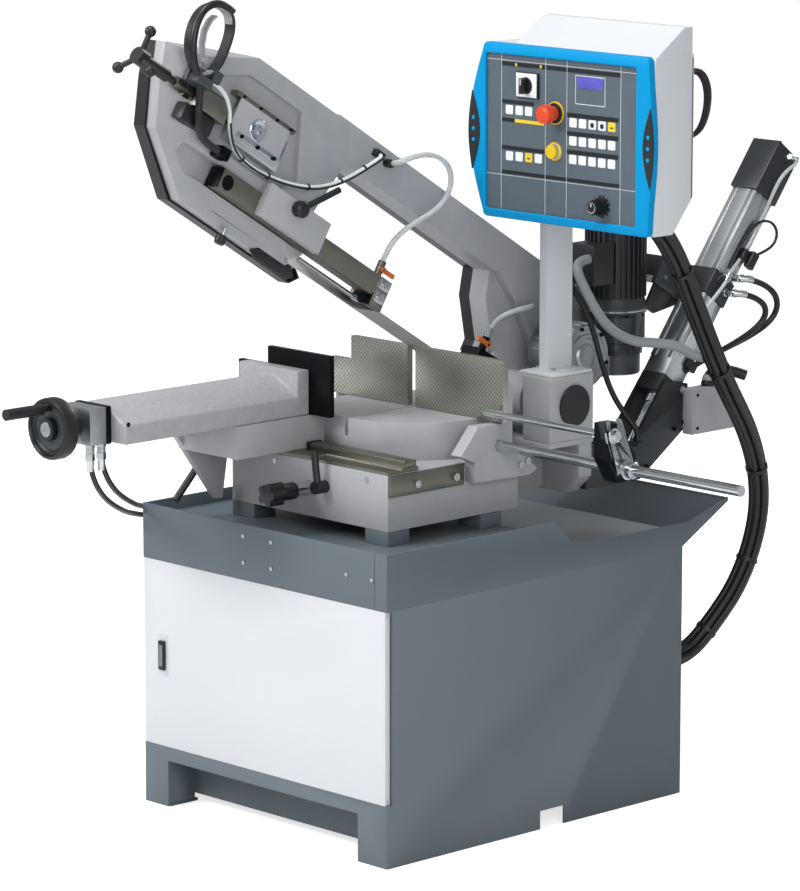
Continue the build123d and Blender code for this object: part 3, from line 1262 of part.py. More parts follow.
TERMINAL_Y = 395.0
TERMINAL_X0 = 94.0
TERMINAL_X1 = 166.0
TERMINAL_Z0 = 1130.0
TERMINAL_Z1 = 1222.0
CONDUIT_R = 11.0
CONDUIT_ROUTE = [(150, TERMINAL_Y, 1190), (150, 366, 1190), (168, 338, 1172), (196, 338, 1132),
                 (218, 350, 1086), (252, 358, 1048), (302, 378, 1024), (352, 408, 1024), (394, 430, 1020),
                 (428.9, 440.4, 1000), (457.6, 444.9, 1000)]
LEAD_ROUTE = [(118, TERMINAL_Y, 1160), (118, 366, 1160), (140, 344, 1140), (174, 352, 1098), (194, 366, 1040),
              (210, 376, 966), (228, 394, 892), (256, 420, 836)]


def motor_conduit():
    """Grey conduit from the motor to the cable bundle, and a black lead to the lift cylinder's bracket."""
    lead_end = (LEAD_CLIP_X, LEAD_CLIP_Y, LEAD_CLIP_Z)
    lead = LEAD_ROUTE + [(LEAD_CLIP_X, LEAD_CLIP_Y, LEAD_CLIP_Z + 24.0), lead_end]
    return Compound(children=[cord(CONDUIT_ROUTE, CONDUIT_R), cord(lead, LEAD_R)])


def gearbox():
    round_part = raised(bow_rod(BOW_NEAR, GEARBOX_X1, DRIVE_P, WHEEL_Q, GEARBOX_R))
    turn = math.radians(RAISE)
    centre_y = HINGE_Y + DRIVE_P * math.cos(turn) + WHEEL_Q * math.sin(turn)
    worm_r = 56.0
    worm_z0 = BELL_Z0 - 46.0
    half = 30.0
    box_part = box(MOTOR_X - half, MOTOR_X + half, centre_y, MOTOR_Y, worm_z0, BELL_Z0)
    worm = rod_z(worm_z0, BELL_Z0, MOTOR_X, MOTOR_Y, worm_r)
    bore = raised(bow_rod(BOW_NEAR - 1, BOW_NEAR + 52.0, DRIVE_P, WHEEL_Q, DRIVE_SHAFT_R + RUN_FIT))
    return round_part + box_part + worm - bore


def drive_motor():
    bell_r = 62.0
    motor = rod_z(BELL_Z0, BELL_Z0 + 24.0, MOTOR_X, MOTOR_Y, bell_r)
    motor += rod_z(BELL_Z0 + 23.0, MOTOR_Z0, MOTOR_X, MOTOR_Y, bell_r - 12.0)
    motor += rod_z(MOTOR_Z0 - 1, MOTOR_Z1, MOTOR_X, MOTOR_Y, MOTOR_R)
    motor += rod_z(MOTOR_Z1 - 1, MOTOR_Z1 + 30.0, MOTOR_X, MOTOR_Y, MOTOR_R - 6.0)
    motor += box(TERMINAL_X0, TERMINAL_X1, TERMINAL_Y, MOTOR_Y - MOTOR_R / 2, TERMINAL_Z0, TERMINAL_Z1)
    return motor


MAST_X0 = BOW_SPLIT + 2.0
MAST_X1 = BOW_NEAR - 5.0
MAST_FOOT_P0 = 100.0
MAST_FOOT_P1 = 165.0
ARM_TUBE_P0 = 190.0
ARM_TUBE_Q0 = 396.0
ARM_TUBE = 50.0
ARM_PLATE_Q0 = 380.0
ARM_PLATE_Q1 = 466.0
ARM_TIP_P = TRUNNION_P + 38.0
ARM_TIP_CUT = 18.0
LIFT_X0 = 168.0
LIFT_X1 = 180.0
RAISE_RAD = math.radians(RAISE)
TRUNNION_Y = HINGE_Y + TRUNNION_P * math.cos(RAISE_RAD) + TRUNNION_Q * math.sin(RAISE_RAD)
TRUNNION_Z = HINGE_Z - TRUNNION_P * math.sin(RAISE_RAD) + TRUNNION_Q * math.cos(RAISE_RAD)
AXIS_Y = TRUNNION_Y - EYE_Y
AXIS_Z = TRUNNION_Z - EYE_Z
AXIS_L = math.hypot(AXIS_Y, AXIS_Z)
DIR_Y = AXIS_Y / AXIS_L
DIR_Z = AXIS_Z / AXIS_L


def lift_arm():
    """Mast on the bow's top, a tube across it and a plate out to the lift cylinder's trunnion."""
    tube_p1 = ARM_TUBE_P0 + ARM_TUBE
    tube_q1 = ARM_TUBE_Q0 + ARM_TUBE
    mast = [(MAST_FOOT_P0, BEAM_TOP), (MAST_FOOT_P1, BEAM_TOP), (tube_p1, ARM_TUBE_Q0), (tube_p1, tube_q1),
            (ARM_TUBE_P0, tube_q1)]
    arm = bow_prism(mast, MAST_X0, MAST_X1)
    arm += bow_box(MAST_X0, LIFT_X1, ARM_TUBE_P0, tube_p1, ARM_TUBE_Q0, tube_q1)
    shoulder = ARM_TIP_P - ARM_TIP_CUT
    plate = [(ARM_TUBE_P0, ARM_PLATE_Q0), (shoulder, ARM_PLATE_Q0), (ARM_TIP_P, ARM_PLATE_Q0 + ARM_TIP_CUT),
             (ARM_TIP_P, ARM_PLATE_Q1 - ARM_TIP_CUT), (shoulder, ARM_PLATE_Q1), (ARM_TUBE_P0, ARM_PLATE_Q1)]
    arm += bow_prism(plate, LIFT_X0, LIFT_X1)
    arm -= bow_rod(LIFT_X0 - 1, LIFT_X1 + 1, TRUNNION_P, TRUNNION_Q, TRUNNION_PIN_R + TRUNNION_PLAY)
    return raised(arm)


def along(d0, d1, radius):
    """Round bar on the cylinder's axis between two distances from the eye."""
    start = (CYL_X, EYE_Y + DIR_Y * d0, EYE_Z + DIR_Z * d0)
    end = (CYL_X, EYE_Y + DIR_Y * d1, EYE_Z + DIR_Z * d1)
    return bar(start, end, radius)


def square_along(d0, d1, half):
    middle = (d0 + d1) / 2
    centre = (CYL_X, EYE_Y + DIR_Y * middle, EYE_Z + DIR_Z * middle)
    plane = Plane(origin=centre, x_dir=(1, 0, 0), z_dir=(0, DIR_Y, DIR_Z))
    return plane * Box(2 * half, 2 * half, d1 - d0)


CAP_L = 30.0
TOP_CAP_L = 127.0
TOP_CAP_HALF = 40.0
MID_BLOCK_L = 60.0
MID_BLOCK_HALF = 38.0


def lift_cylinder():
    body = square_along(CYL_D0, CYL_D1, CYL_HALF)
    body += square_along(CYL_D1 - TOP_CAP_L, CYL_D1, TOP_CAP_HALF)
    body += square_along(AXIS_L - MID_BLOCK_L / 2, AXIS_L + MID_BLOCK_L / 2, MID_BLOCK_HALF)
    body -= along(CYL_D0 + CAP_L, CYL_D1 - CAP_L, CYL_BORE)
    body -= along(CYL_D0 - 1, CYL_D0 + CAP_L + 1, ROD_R + RUN_FIT)
    body += rod_x(LIFT_X0 - 10.0, CYL_X - CYL_HALF + 2.0, TRUNNION_Y, TRUNNION_Z, TRUNNION_PIN_R)
    return body


def cylinder_rod():
    eye_r = 22.0
    eye_half = 24.0
    rod = rod_x(CYL_X - eye_half, CYL_X + eye_half, EYE_Y, EYE_Z, eye_r)
    rod += along(eye_r - 4.0, ROD_D1, ROD_R)
    rod += along(ROD_D1 - 22.0, ROD_D1, CYL_BORE - RUN_FIT)
    rod -= rod_x(CYL_X - eye_half - 1, CYL_X + eye_half + 1, EYE_Y, EYE_Z, EYE_PIN_R + RUN_FIT)
    return rod


save(bow_casting(), "bow_casting")
save(blade_cover(), "blade_cover")
save(hinge_shaft(), "hinge_shaft")
save(drive_wheel(), "drive_wheel")
save(idler_wheel(), "idler_wheel")
save(tension_carriage(), "tension_carriage")
save(tension_knob(), "tension_knob")
save(saw_blade(), "saw_blade")
save(guide_arm(), "guide_arm")
save(rear_guide(), "rear_guide")
save(valve_lever(FRONT_VALVE, GUIDE_Q1, FRONT_VALVE_Q1, 1), "front_valve_lever")
save(valve_lever(REAR_VALVE, REAR_GUIDE_Q1, REAR_VALVE_Q1, -1), "rear_valve_lever")
save(guide_lever(), "guide_lever")
save(loop_handle(), "loop_handle")
save(handle_trigger(), "handle_trigger")
save(bow_cord(BOW_CABLE_ROUTE, CABLE_R), "bow_cable")
save(bow_cord(GUIDE_HOSE_ROUTE, HOSE_CLEAR_R), "guide_hose")
save(motor_conduit(), "motor_conduit")
save(gearbox(), "gearbox")
save(drive_motor(), "drive_motor")
save(lift_arm(), "lift_arm")
save(lift_cylinder(), "lift_cylinder")
save(cylinder_rod(), "cylinder_rod")
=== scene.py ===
# %% [markdown]
# # A semi-automatic band saw, dressed for its picture
# The solids of this machine come from its CAD model, already at their real place and size.
# This lesson dresses them: paint, ground steel, rubber and plastic, the small screws and keys,
# and the hoses as smooth curves. Nothing here moves or resizes a CAD part.

# %% Load the frame
import json
import math
import bmesh
import bpy
from mathutils import Matrix, Vector

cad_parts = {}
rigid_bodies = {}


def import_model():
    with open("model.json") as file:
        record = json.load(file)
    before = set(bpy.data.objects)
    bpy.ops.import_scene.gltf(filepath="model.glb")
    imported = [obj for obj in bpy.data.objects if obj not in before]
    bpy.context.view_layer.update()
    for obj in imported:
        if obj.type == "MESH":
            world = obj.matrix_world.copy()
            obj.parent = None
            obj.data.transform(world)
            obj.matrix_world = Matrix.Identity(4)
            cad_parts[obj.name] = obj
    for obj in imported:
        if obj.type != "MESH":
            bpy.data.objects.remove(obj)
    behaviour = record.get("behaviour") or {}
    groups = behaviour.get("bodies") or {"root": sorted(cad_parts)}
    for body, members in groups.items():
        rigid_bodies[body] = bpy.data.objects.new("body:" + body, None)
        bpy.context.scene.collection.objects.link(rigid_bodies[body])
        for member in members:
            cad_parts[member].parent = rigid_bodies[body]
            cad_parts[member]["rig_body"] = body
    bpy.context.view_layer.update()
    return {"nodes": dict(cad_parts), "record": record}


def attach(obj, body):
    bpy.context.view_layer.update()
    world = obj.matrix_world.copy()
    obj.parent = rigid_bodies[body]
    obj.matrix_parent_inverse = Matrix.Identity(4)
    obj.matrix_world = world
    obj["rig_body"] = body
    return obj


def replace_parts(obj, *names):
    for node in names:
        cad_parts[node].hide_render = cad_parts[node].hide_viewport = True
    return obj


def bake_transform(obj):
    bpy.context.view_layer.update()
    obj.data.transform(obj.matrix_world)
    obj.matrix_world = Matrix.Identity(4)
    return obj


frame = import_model()
NODES = frame["nodes"]

# %% [markdown]
# ## Camera, light and floor
# The picture is a product photograph: a long lens from the front right, on white, with soft light
# from the left. A long lens keeps the machine's edges nearly parallel. I place the camera by where it
# stands, how far it turns and how far it dips, so each number moves the picture in one plain way.

# %% Camera
MM = 0.001
CAMERA_AT = Vector((7137, -6877, 2672)) * MM
CAMERA_TURN = 46.24      # degrees from the machine's front, towards its right side
CAMERA_DIP = 10.7
LENS_MM = 184.7
SENSOR_MM = 36.0

camera_data = bpy.data.cameras.new("camera")
camera_data.lens = LENS_MM
camera_data.sensor_width = SENSOR_MM
camera = bpy.data.objects.new("camera", camera_data)
bpy.context.scene.collection.objects.link(camera)
camera.location = CAMERA_AT
camera.rotation_euler = (math.radians(90 - CAMERA_DIP), 0, math.radians(CAMERA_TURN))
bpy.context.scene.camera = camera
bpy.context.scene.view_settings.view_transform = "Standard"
print("camera distance:", round(CAMERA_AT.length, 2), "m")


# %% Node helper and colours
def linear(hex_colour):
    """sRGB hex to the linear colour that Blender's sockets hold."""
    channels = [int(hex_colour[i:i + 2], 16) / 255 for i in (1, 3, 5)]
    return tuple(c / 12.92 if c <= 0.04045 else ((c + 0.055) / 1.055) ** 2.4 for c in channels) + (1.0,)


def add(tree, kind, values=None, links=None, **settings):
    """Add a node, set its settings and socket values, and link its inputs."""
    node = tree.nodes.new(kind)
    for name, value in settings.items():
        setattr(node, name, value)
    for key, value in (values or {}).items():
        node.inputs[key].default_value = value
    for key, source in (links or {}).items():
        tree.links.new(source, node.inputs[key])
    return node


# %% World, lamps and floor
# The camera sees a white room, also through clear pieces, while the room's light on the machine and in
# its shiny pieces stays plain.
WORLD_LIGHT = 0.40
world = bpy.data.worlds.new("white_room")
bpy.context.scene.world = world
world.use_nodes = True
tree = world.node_tree
tree.nodes.clear()
path = add(tree, "ShaderNodeLightPath")
seen = add(tree, "ShaderNodeMath",
           links={0: path.outputs["Is Camera Ray"], 1: path.outputs["Is Transmission Ray"]},
           operation="MAXIMUM")
room = add(tree, "ShaderNodeBackground", {"Color": linear("#f2f5f8"), "Strength": WORLD_LIGHT})
white = add(tree, "ShaderNodeBackground", {"Color": (1, 1, 1, 1), "Strength": 1.0})
mixed = add(tree, "ShaderNodeMixShader",
            links={0: seen.outputs[0], 1: room.outputs[0], 2: white.outputs[0]})
add(tree, "ShaderNodeOutputWorld", links={"Surface": mixed.outputs[0]})


def lamp(name, at, aim, size, watts):
    """Large soft lamp, aimed at a point of the machine."""
    data = bpy.data.lights.new(name, "AREA")
    data.shape = "DISK"
    data.size = size
    data.energy = watts
    obj = bpy.data.objects.new(name, data)
    bpy.context.scene.collection.objects.link(obj)
    obj.location = at
    obj.rotation_euler = (Vector(aim) - Vector(at)).to_track_quat("-Z", "Y").to_euler()


lamp("key", (-2.2, -5.2, 4.4), (0, 0, 0.9), 2.6, 222)
lamp("right_fill", (4.4, -2.6, 2.6), (0, 0, 1.0), 2.4, 68)
lamp("top", (0.1, -1.4, 5.0), (0, 0, 0.8), 2.2, 92)
lamp("back_rim", (-1.0, 4.8, 3.6), (0, 0, 1.0), 2.4, 90)

floor_mesh = bpy.data.meshes.new("floor")
FLOOR = 14.0
corners = [(-FLOOR, -FLOOR, 0), (FLOOR, -FLOOR, 0), (FLOOR, FLOOR, 0), (-FLOOR, FLOOR, 0)]
floor_mesh.from_pydata(corners, [], [(0, 1, 2, 3)])
floor = bpy.data.objects.new("floor", floor_mesh)
bpy.context.scene.collection.objects.link(floor)
floor_paint = bpy.data.materials.new("pale_floor")
floor_paint.use_nodes = True
tree = floor_paint.node_tree
tree.nodes.clear()
path = add(tree, "ShaderNodeLightPath")
matt = add(tree, "ShaderNodeBsdfDiffuse", {"Color": linear("#f0f2f4")})
FLOOR_GLOW = 0.72
glow = add(tree, "ShaderNodeEmission", {"Color": (1, 1, 1, 1), "Strength": FLOOR_GLOW})
half_glow = add(tree, "ShaderNodeAddShader", links={0: matt.outputs[0], 1: glow.outputs[0]})
pick = add(tree, "ShaderNodeMixShader", links={0: path.outputs["Is Camera Ray"], 1: matt.outputs[0],
                                               2: half_glow.outputs[0]})
add(tree, "ShaderNodeOutputMaterial", links={"Surface": pick.outputs[0]})
floor_mesh.materials.append(floor_paint)
print("lamps:", len(bpy.data.lights), "floor:", 2 * FLOOR, "m wide")

# %% [markdown]
# ## Finishes
# Each finish starts from what the real surface is and how it was made. A powder coat has orange
# peel about 2 mm across, sand-cast paint rolls softly over 7 mm, ground steel has fine lines one
# way. Patterns read Object coordinates, in metres, so a scale is one over the real size.
# Grain finer than half a millimetre would vanish at this distance, so it is drawn a little coarser.


# %% Start of a finish
def finish(name, colour, roughness, metallic=0.0):
    """New material with one Principled shader; returns it with its tree, shader and coordinates."""
    material = bpy.data.materials.new(name)
    material.use_nodes = True
    tree = material.node_tree
    tree.nodes.clear()
    shader = add(tree, "ShaderNodeBsdfPrincipled",
                 {"Base Color": linear(colour), "Roughness": roughness, "Metallic": metallic})
    add(tree, "ShaderNodeOutputMaterial", links={"Surface": shader.outputs[0]})
    coords = add(tree, "ShaderNodeTexCoord").outputs["Object"]
    return material, tree, shader, coords


def per_mm(size):
    """Texture scale that gives features of this many millimetres."""
    return 1000.0 / size


def mottle(tree, coords, shader, dark, light, size):
    """Colour that drifts between two tones over patches of this size."""
    noise = add(tree, "ShaderNodeTexNoise", {"Scale": per_mm(size), "Detail": 4.0}, {"Vector": coords})
    tones = add(tree, "ShaderNodeMix", {6: linear(dark), 7: linear(light)}, {0: noise.outputs["Fac"]},
                data_type="RGBA")
    tree.links.new(tones.outputs[2], shader.inputs["Base Color"])
    return tones


def grain(tree, coords, shader, size, depth_mm, detail=2.0):
    """Bump from soft noise of this grain size and depth."""
    noise = add(tree, "ShaderNodeTexNoise", {"Scale": per_mm(size), "Detail": detail}, {"Vector": coords})
    bump = add(tree, "ShaderNodeBump", {"Strength": 1.0, "Distance": depth_mm * MM},
               {"Height": noise.outputs["Fac"]})
    tree.links.new(bump.outputs[0], shader.inputs["Normal"])


def worn_edges(tree, shader, tones, bare):
    """Lighter colour where the paint runs thin over an edge."""
    edge = add(tree, "ShaderNodeNewGeometry").outputs["Pointiness"]
    ramp = add(tree, "ShaderNodeMapRange", {"From Min": 0.53, "From Max": 0.62, "To Max": 0.55},
               {"Value": edge})
    worn = add(tree, "ShaderNodeMix", {7: linear(bare)}, {0: ramp.outputs[0], 6: tones.outputs[2]},
               data_type="RGBA")
    tree.links.new(worn.outputs[2], shader.inputs["Base Color"])


# %% Paints
def powder_coat(name, dark, light, bare, roughness):
    """Baked powder paint on sheet steel: even satin colour with fine orange peel."""
    material, tree, shader, coords = finish(name, dark, roughness)
    tones = mottle(tree, coords, shader, dark, light, 160.0)
    worn_edges(tree, shader, tones, bare)
    grain(tree, coords, shader, 2.2, 0.05)
    return material


def casting_paint():
    """Two-pack paint over sand-cast iron: soft rolling surface, slightly warm light grey."""
    material, tree, shader, coords = finish("grey_casting_paint", "#a3a4a7", 0.42)
    tones = mottle(tree, coords, shader, "#9b9ca0", "#adadb0", 45.0)
    worn_edges(tree, shader, tones, "#c6c6c7")
    grain(tree, coords, shader, 7.0, 0.12, 3.0)
    return material


def wrinkle_paint():
    """The same grey as a heavy wrinkle coat: small blisters about 4 mm across that catch the light."""
    material, tree, shader, coords = finish("grey_wrinkle_paint", "#a8a8aa", 0.36)
    mottle(tree, coords, shader, "#98989c", "#b6b6b8", 12.0)
    cells = add(tree, "ShaderNodeTexVoronoi", {"Scale": per_mm(4.2)}, {"Vector": coords},
                feature="SMOOTH_F1")
    bump = add(tree, "ShaderNodeBump", {"Distance": 0.5 * MM, "Strength": 1.0},
               {"Height": cells.outputs["Distance"]})
    bump.invert = True
    tree.links.new(bump.outputs[0], shader.inputs["Normal"])
    return material


CABINET_PAINT = powder_coat("slate_powder_coat", "#505a61", "#5b656c", "#788187", 0.46)
WHITE_PAINT = powder_coat("white_powder_coat", "#cfd2d6", "#d6d9dd", "#e4e6e8", 0.4)
GREY_PAINT = casting_paint()
WRINKLE_PAINT = wrinkle_paint()
BLACK_ENAMEL = powder_coat("black_enamel", "#131517", "#1c1f22", "#3a3e42", 0.36)
DARK_PAINT = powder_coat("charcoal_enamel", "#303336", "#3a3d40", "#55595c", 0.42)
TANK_PAINT = powder_coat("tank_grey_enamel", "#6a7176", "#767d82", "#8e9498", 0.5)


# %% Metals
def ground_steel(name, dark, light, roughness, line_mm, along):
    """Surface-ground steel: fine lines one way, so light smears across them."""
    material, tree, shader, coords = finish(name, dark, roughness, 1.0)
    stretch = [per_mm(line_mm)] * 3
    stretch[along] = per_mm(line_mm * 60)
    mapped = add(tree, "ShaderNodeMapping", {"Scale": stretch}, {"Vector": coords})
    lines = add(tree, "ShaderNodeTexNoise", {"Scale": 1.0, "Detail": 2.0}, {"Vector": mapped.outputs[0]})
    tones = add(tree, "ShaderNodeMix", {6: linear(dark), 7: linear(light)}, {0: lines.outputs["Fac"]},
                data_type="RGBA")
    tree.links.new(tones.outputs[2], shader.inputs["Base Color"])
    bump = add(tree, "ShaderNodeBump", {"Distance": 0.03 * MM}, {"Height": lines.outputs["Fac"]})
    tree.links.new(bump.outputs[0], shader.inputs["Normal"])
    return material


WAVE_UNIT = 2 * math.pi / 20      # a wave texture of scale 1 repeats every 0.314 m


def diamond_steel():
    """Jaw face milled with two sets of slanting grooves, 7 mm apart, that leave small diamonds; the grooves
    also carry painted shade.
    """
    material, tree, shader, coords = finish("diamond_jaw_steel", "#8f8f86", 0.34, 1.0)
    groove = 7.0
    heights = []
    for turn in (45, -45):
        slanted = add(tree, "ShaderNodeMapping", {"Rotation": (0, math.radians(turn), 0)},
                      {"Vector": coords})
        wave = add(tree, "ShaderNodeTexWave", {"Scale": per_mm(groove) * WAVE_UNIT},
                   {"Vector": slanted.outputs[0]}, bands_direction="X", wave_profile="TRI")
        heights.append(wave.outputs["Fac"])
    lower = add(tree, "ShaderNodeMath", links={0: heights[0], 1: heights[1]}, operation="MINIMUM")
    milled = add(tree, "ShaderNodeMapRange", {"From Max": 0.35}, {"Value": lower.outputs[0]})
    facing = add(tree, "ShaderNodeSeparateXYZ",
                 links={0: add(tree, "ShaderNodeTexCoord").outputs["Normal"]})
    broad = add(tree, "ShaderNodeMath", links={0: facing.outputs[1]}, operation="ABSOLUTE")
    edge = add(tree, "ShaderNodeMath", {1: 0.7}, {0: broad.outputs[0]}, operation="LESS_THAN")
    ridge = add(tree, "ShaderNodeMath", links={0: milled.outputs[0], 1: edge.outputs[0]},
                operation="MAXIMUM")
    bump = add(tree, "ShaderNodeBump", {"Distance": 0.9 * MM}, {"Height": ridge.outputs[0]})
    tree.links.new(bump.outputs[0], shader.inputs["Normal"])
    # The grooves are coloured dark and the diamonds light: painted shade in the grooves, on top of their
    # bump.
    tones = add(tree, "ShaderNodeMix", {6: linear("#5f5f57"), 7: linear("#b4b4aa")}, {0: ridge.outputs[0]},
                data_type="RGBA")
    tree.links.new(tones.outputs[2], shader.inputs["Base Color"])
    return material


def cast_metal(name, dark, light, roughness, size):
    """As-cast or blasted metal: soft sparkle with a faint skin."""
    material, tree, shader, coords = finish(name, dark, roughness, 1.0)
    mottle(tree, coords, shader, dark, light, size * 5)
    grain(tree, coords, shader, size, 0.1)
    return material


KHAKI_STEEL = ground_steel("khaki_ground_steel", "#75746a", "#8f8e82", 0.36, 0.8, 0)
BAND_STEEL = ground_steel("band_steel", "#bdbdb8", "#d4d4cf", 0.34, 0.7, 1)
BRIGHT_STEEL = ground_steel("bright_steel", "#b5b8bb", "#d2d4d6", 0.24, 0.6, 0)
JAW_STEEL = diamond_steel()
CHROME = cast_metal("hard_chrome", "#cfd2d5", "#dfe1e3", 0.1, 30.0)
ALUMINIUM = cast_metal("die_cast_aluminium", "#a6a9ac", "#bfc2c4", 0.42, 3.0)
ANODISED = ground_steel("anodised_profile", "#b9bcbf", "#cdd0d2", 0.34, 0.9, 2)
BLACK_OXIDE = cast_metal("black_oxide_steel", "#1a1c1e", "#26282b", 0.38, 4.0)
MACHINED_IRON = ground_steel("machined_iron", "#9b9b98", "#b2b2ae", 0.4, 1.1, 0)


# %% Plastics and rubber
def moulded(name, dark, light, roughness, texture_mm=1.4, depth_mm=0.03):
    """Injection-moulded plastic or rubber: even colour with a faint spark-eroded grain."""
    material, tree, shader, coords = finish(name, dark, roughness)
    mottle(tree, coords, shader, dark, light, 30.0)
    grain(tree, coords, shader, texture_mm, depth_mm)
    return material


def clear_hose():
    """Soft clear PVC: milky, glossy, with the light running along it."""
    material, tree, shader, coords = finish("clear_pvc", "#dfe3e4", 0.2)
    mottle(tree, coords, shader, "#d2d7d9", "#e9ecec", 20.0)
    shader.inputs["Transmission Weight"].default_value = 0.35
    shader.inputs["IOR"].default_value = 1.53
    return material


def screen():
    """Back-lit liquid crystal window: violet-blue with a faint glow, behind glossy film."""
    material, tree, shader, coords = finish("violet_screen", "#5450a6", 0.12)
    mottle(tree, coords, shader, "#4a4698", "#6460b8", 18.0)
    shader.inputs["Emission Color"].default_value = linear("#4f4ab0")
    shader.inputs["Emission Strength"].default_value = 0.25
    return material


BLACK_PLASTIC = moulded("black_nylon", "#121416", "#1b1d20", 0.4)
BLACK_RUBBER = moulded("black_rubber", "#141516", "#1c1d1e", 0.55, 2.4, 0.06)
HOSE_BLACK = moulded("black_hose_rubber", "#0f1011", "#191a1b", 0.42, 1.8, 0.05)
GREY_PVC = moulded("grey_conduit_pvc", "#8c9092", "#9da1a3", 0.45)
BLUE_ABS = moulded("blue_abs", "#008dc6", "#0095d0", 0.42, 1.2, 0.03)
# A low specular level keeps the blue deep, because the soft lamps would lay a pale veil over it.
BLUE_ABS.node_tree.nodes["Principled BSDF"].inputs["Specular IOR Level"].default_value = 0.15
MEMBRANE = moulded("slate_membrane_film", "#525e66", "#59656d", 0.42, 0.9, 0.015)
MEMBRANE_DARK = moulded("black_membrane_print", "#16191b", "#1c2022", 0.4, 0.9, 0.015)
KEY_PRINT = moulded("white_key_print", "#dfe4e6", "#eceff0", 0.45, 0.9, 0.01)
KEY_YELLOW = moulded("yellow_key_print", "#dfc32a", "#ead03a", 0.45, 0.9, 0.01)
RED_PLASTIC = moulded("red_signal_plastic", "#d53f1c", "#e25230", 0.3)
YELLOW_PLASTIC = moulded("yellow_signal_plastic", "#e3bb12", "#efc926", 0.3)
ORANGE_PLASTIC = moulded("orange_lever_plastic", "#d9600f", "#e87420", 0.34)
CLEAR_HOSE = clear_hose()
SCREEN = screen()
print("finishes:", len(bpy.data.materials))

# %% [markdown]
# ## Dressing the solids
# CAD edges are perfectly sharp, and nothing real is. I copy each solid that shows, weld its loose
# triangles, dissolve the flat ones together and round every sharp edge by about the radius that the
# real process leaves: 2 mm on folded sheet, 4 mm on a casting. The copy stands for its CAD node,
# which stays behind it for collisions. Where the CAD shape is round enough, I only paint it.


# %% Weld, round and shade a copy of a CAD node
SHARP = math.radians(28)
BODY_OF = {node: body for body, nodes in frame["record"]["behaviour"]["bodies"].items() for node in nodes}


def shade(mesh):
    """Smooth shading that keeps creases over the sharp angle."""
    for polygon in mesh.polygons:
        polygon.use_smooth = True
    mesh.set_sharp_from_angle(angle=SHARP)


def round_edges(bm, radius, segments):
    edges = [e for e in bm.edges if e.is_manifold and e.calc_face_angle(0) > SHARP]
    bmesh.ops.bevel(bm, geom=edges, offset=radius, offset_type="OFFSET", segments=segments, profile=0.5,
                    affect="EDGES", clamp_overlap=True)


def piece(name, bm, body, material):
    """Turn a bmesh into a finished object that rides on a body."""
    mesh = bpy.data.meshes.new(name)
    bmesh.ops.recalc_face_normals(bm, faces=bm.faces)
    bm.to_mesh(mesh)
    bm.free()
    shade(mesh)
    obj = bpy.data.objects.new(name, mesh)
    bpy.context.scene.collection.objects.link(obj)
    mesh.materials.append(material)
    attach(obj, body)
    return obj


WELD = 1e-5      # metres
FLAT = math.radians(0.5)


def dress(node, material, radius=1.0, segments=2):
    """Rounded copy of a CAD node, which it replaces."""
    bm = bmesh.new()
    bm.from_mesh(NODES[node].data)
    bmesh.ops.remove_doubles(bm, verts=bm.verts, dist=WELD)
    bmesh.ops.dissolve_limit(bm, angle_limit=FLAT, verts=bm.verts, edges=bm.edges)
    round_edges(bm, radius * MM, segments)
    obj = piece(node + "_skin", bm, BODY_OF[node], material)
    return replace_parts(obj, node)


def paint(node, material):
    """Finish on a CAD node whose own shape is right."""
    slots = NODES[node].data.materials
    slots.clear()
    slots.append(material)


# %% [markdown]
# ## Hoses and cables
# A hose is a fixed length of something flexible, so its line is one smooth curve. The route points
# are in millimetres, the CAD model's own where it has the hose, and a NURBS spline of order 3 runs
# smoothly past them. I read that spline's points back and sweep a mesh tube along them.


# %% Routes to lines, lines to tubes
def smooth_line(points, resolution=8):
    """Points of a smooth NURBS line past the route's points, in metres."""
    curve = bpy.data.curves.new("route", "CURVE")
    curve.dimensions = "3D"
    curve.resolution_u = resolution
    spline = curve.splines.new("NURBS")
    spline.points.add(len(points) - 1)
    for control, point in zip(spline.points, points):
        control.co = (*(Vector(point) * MM), 1.0)
    spline.order_u = 3
    spline.use_endpoint_u = True
    obj = bpy.data.objects.new("route", curve)
    bpy.context.scene.collection.objects.link(obj)
    evaluated = obj.evaluated_get(bpy.context.evaluated_depsgraph_get())
    mesh = bpy.data.meshes.new_from_object(evaluated)
    line = [v.co.copy() for v in mesh.vertices]
    bpy.data.objects.remove(obj)
    bpy.data.meshes.remove(mesh)
    bpy.data.curves.remove(curve)
    return line


def line_length(line):
    return sum((b - a).length for a, b in zip(line, line[1:]))


def line_frames(line):
    """At each point of a line, its place and two steady directions across it."""
    frames = []
    ahead = (line[1] - line[0]).normalized()
    side = ahead.orthogonal().normalized()
    for n, place in enumerate(line):
        nxt = line[min(n + 1, len(line) - 1)]
        last = line[max(n - 1, 0)]
        along = (nxt - last).normalized()
        side = (side - along * side.dot(along)).normalized()
        frames.append((place, side, along.cross(side)))
    return frames


def sweep(bm, frames, radius, sides, shift=(0.0, 0.0)):
    """Closed round tube along the frames, beside the line by shift; sizes in metres."""
    rings = []
    for place, across, up in frames:
        centre = place + across * shift[0] + up * shift[1]
        ring = []
        for n in range(sides):
            turn = 2 * math.pi * n / sides
            ring.append(bm.verts.new(centre + (across * math.cos(turn) + up * math.sin(turn)) * radius))
        rings.append(ring)
    for ring, after in zip(rings, rings[1:]):
        for n in range(sides):
            m = (n + 1) % sides
            bm.faces.new((ring[n], ring[m], after[m], after[n]))
    bm.faces.new(list(reversed(rings[0])))
    bm.faces.new(rings[-1])


def loose_piece(name, bm, material):
    """Mesh object that isn't tied to any body."""
    obj = piece(name, bm, "machine_base", material)
    obj.parent = None
    del obj["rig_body"]
    return obj


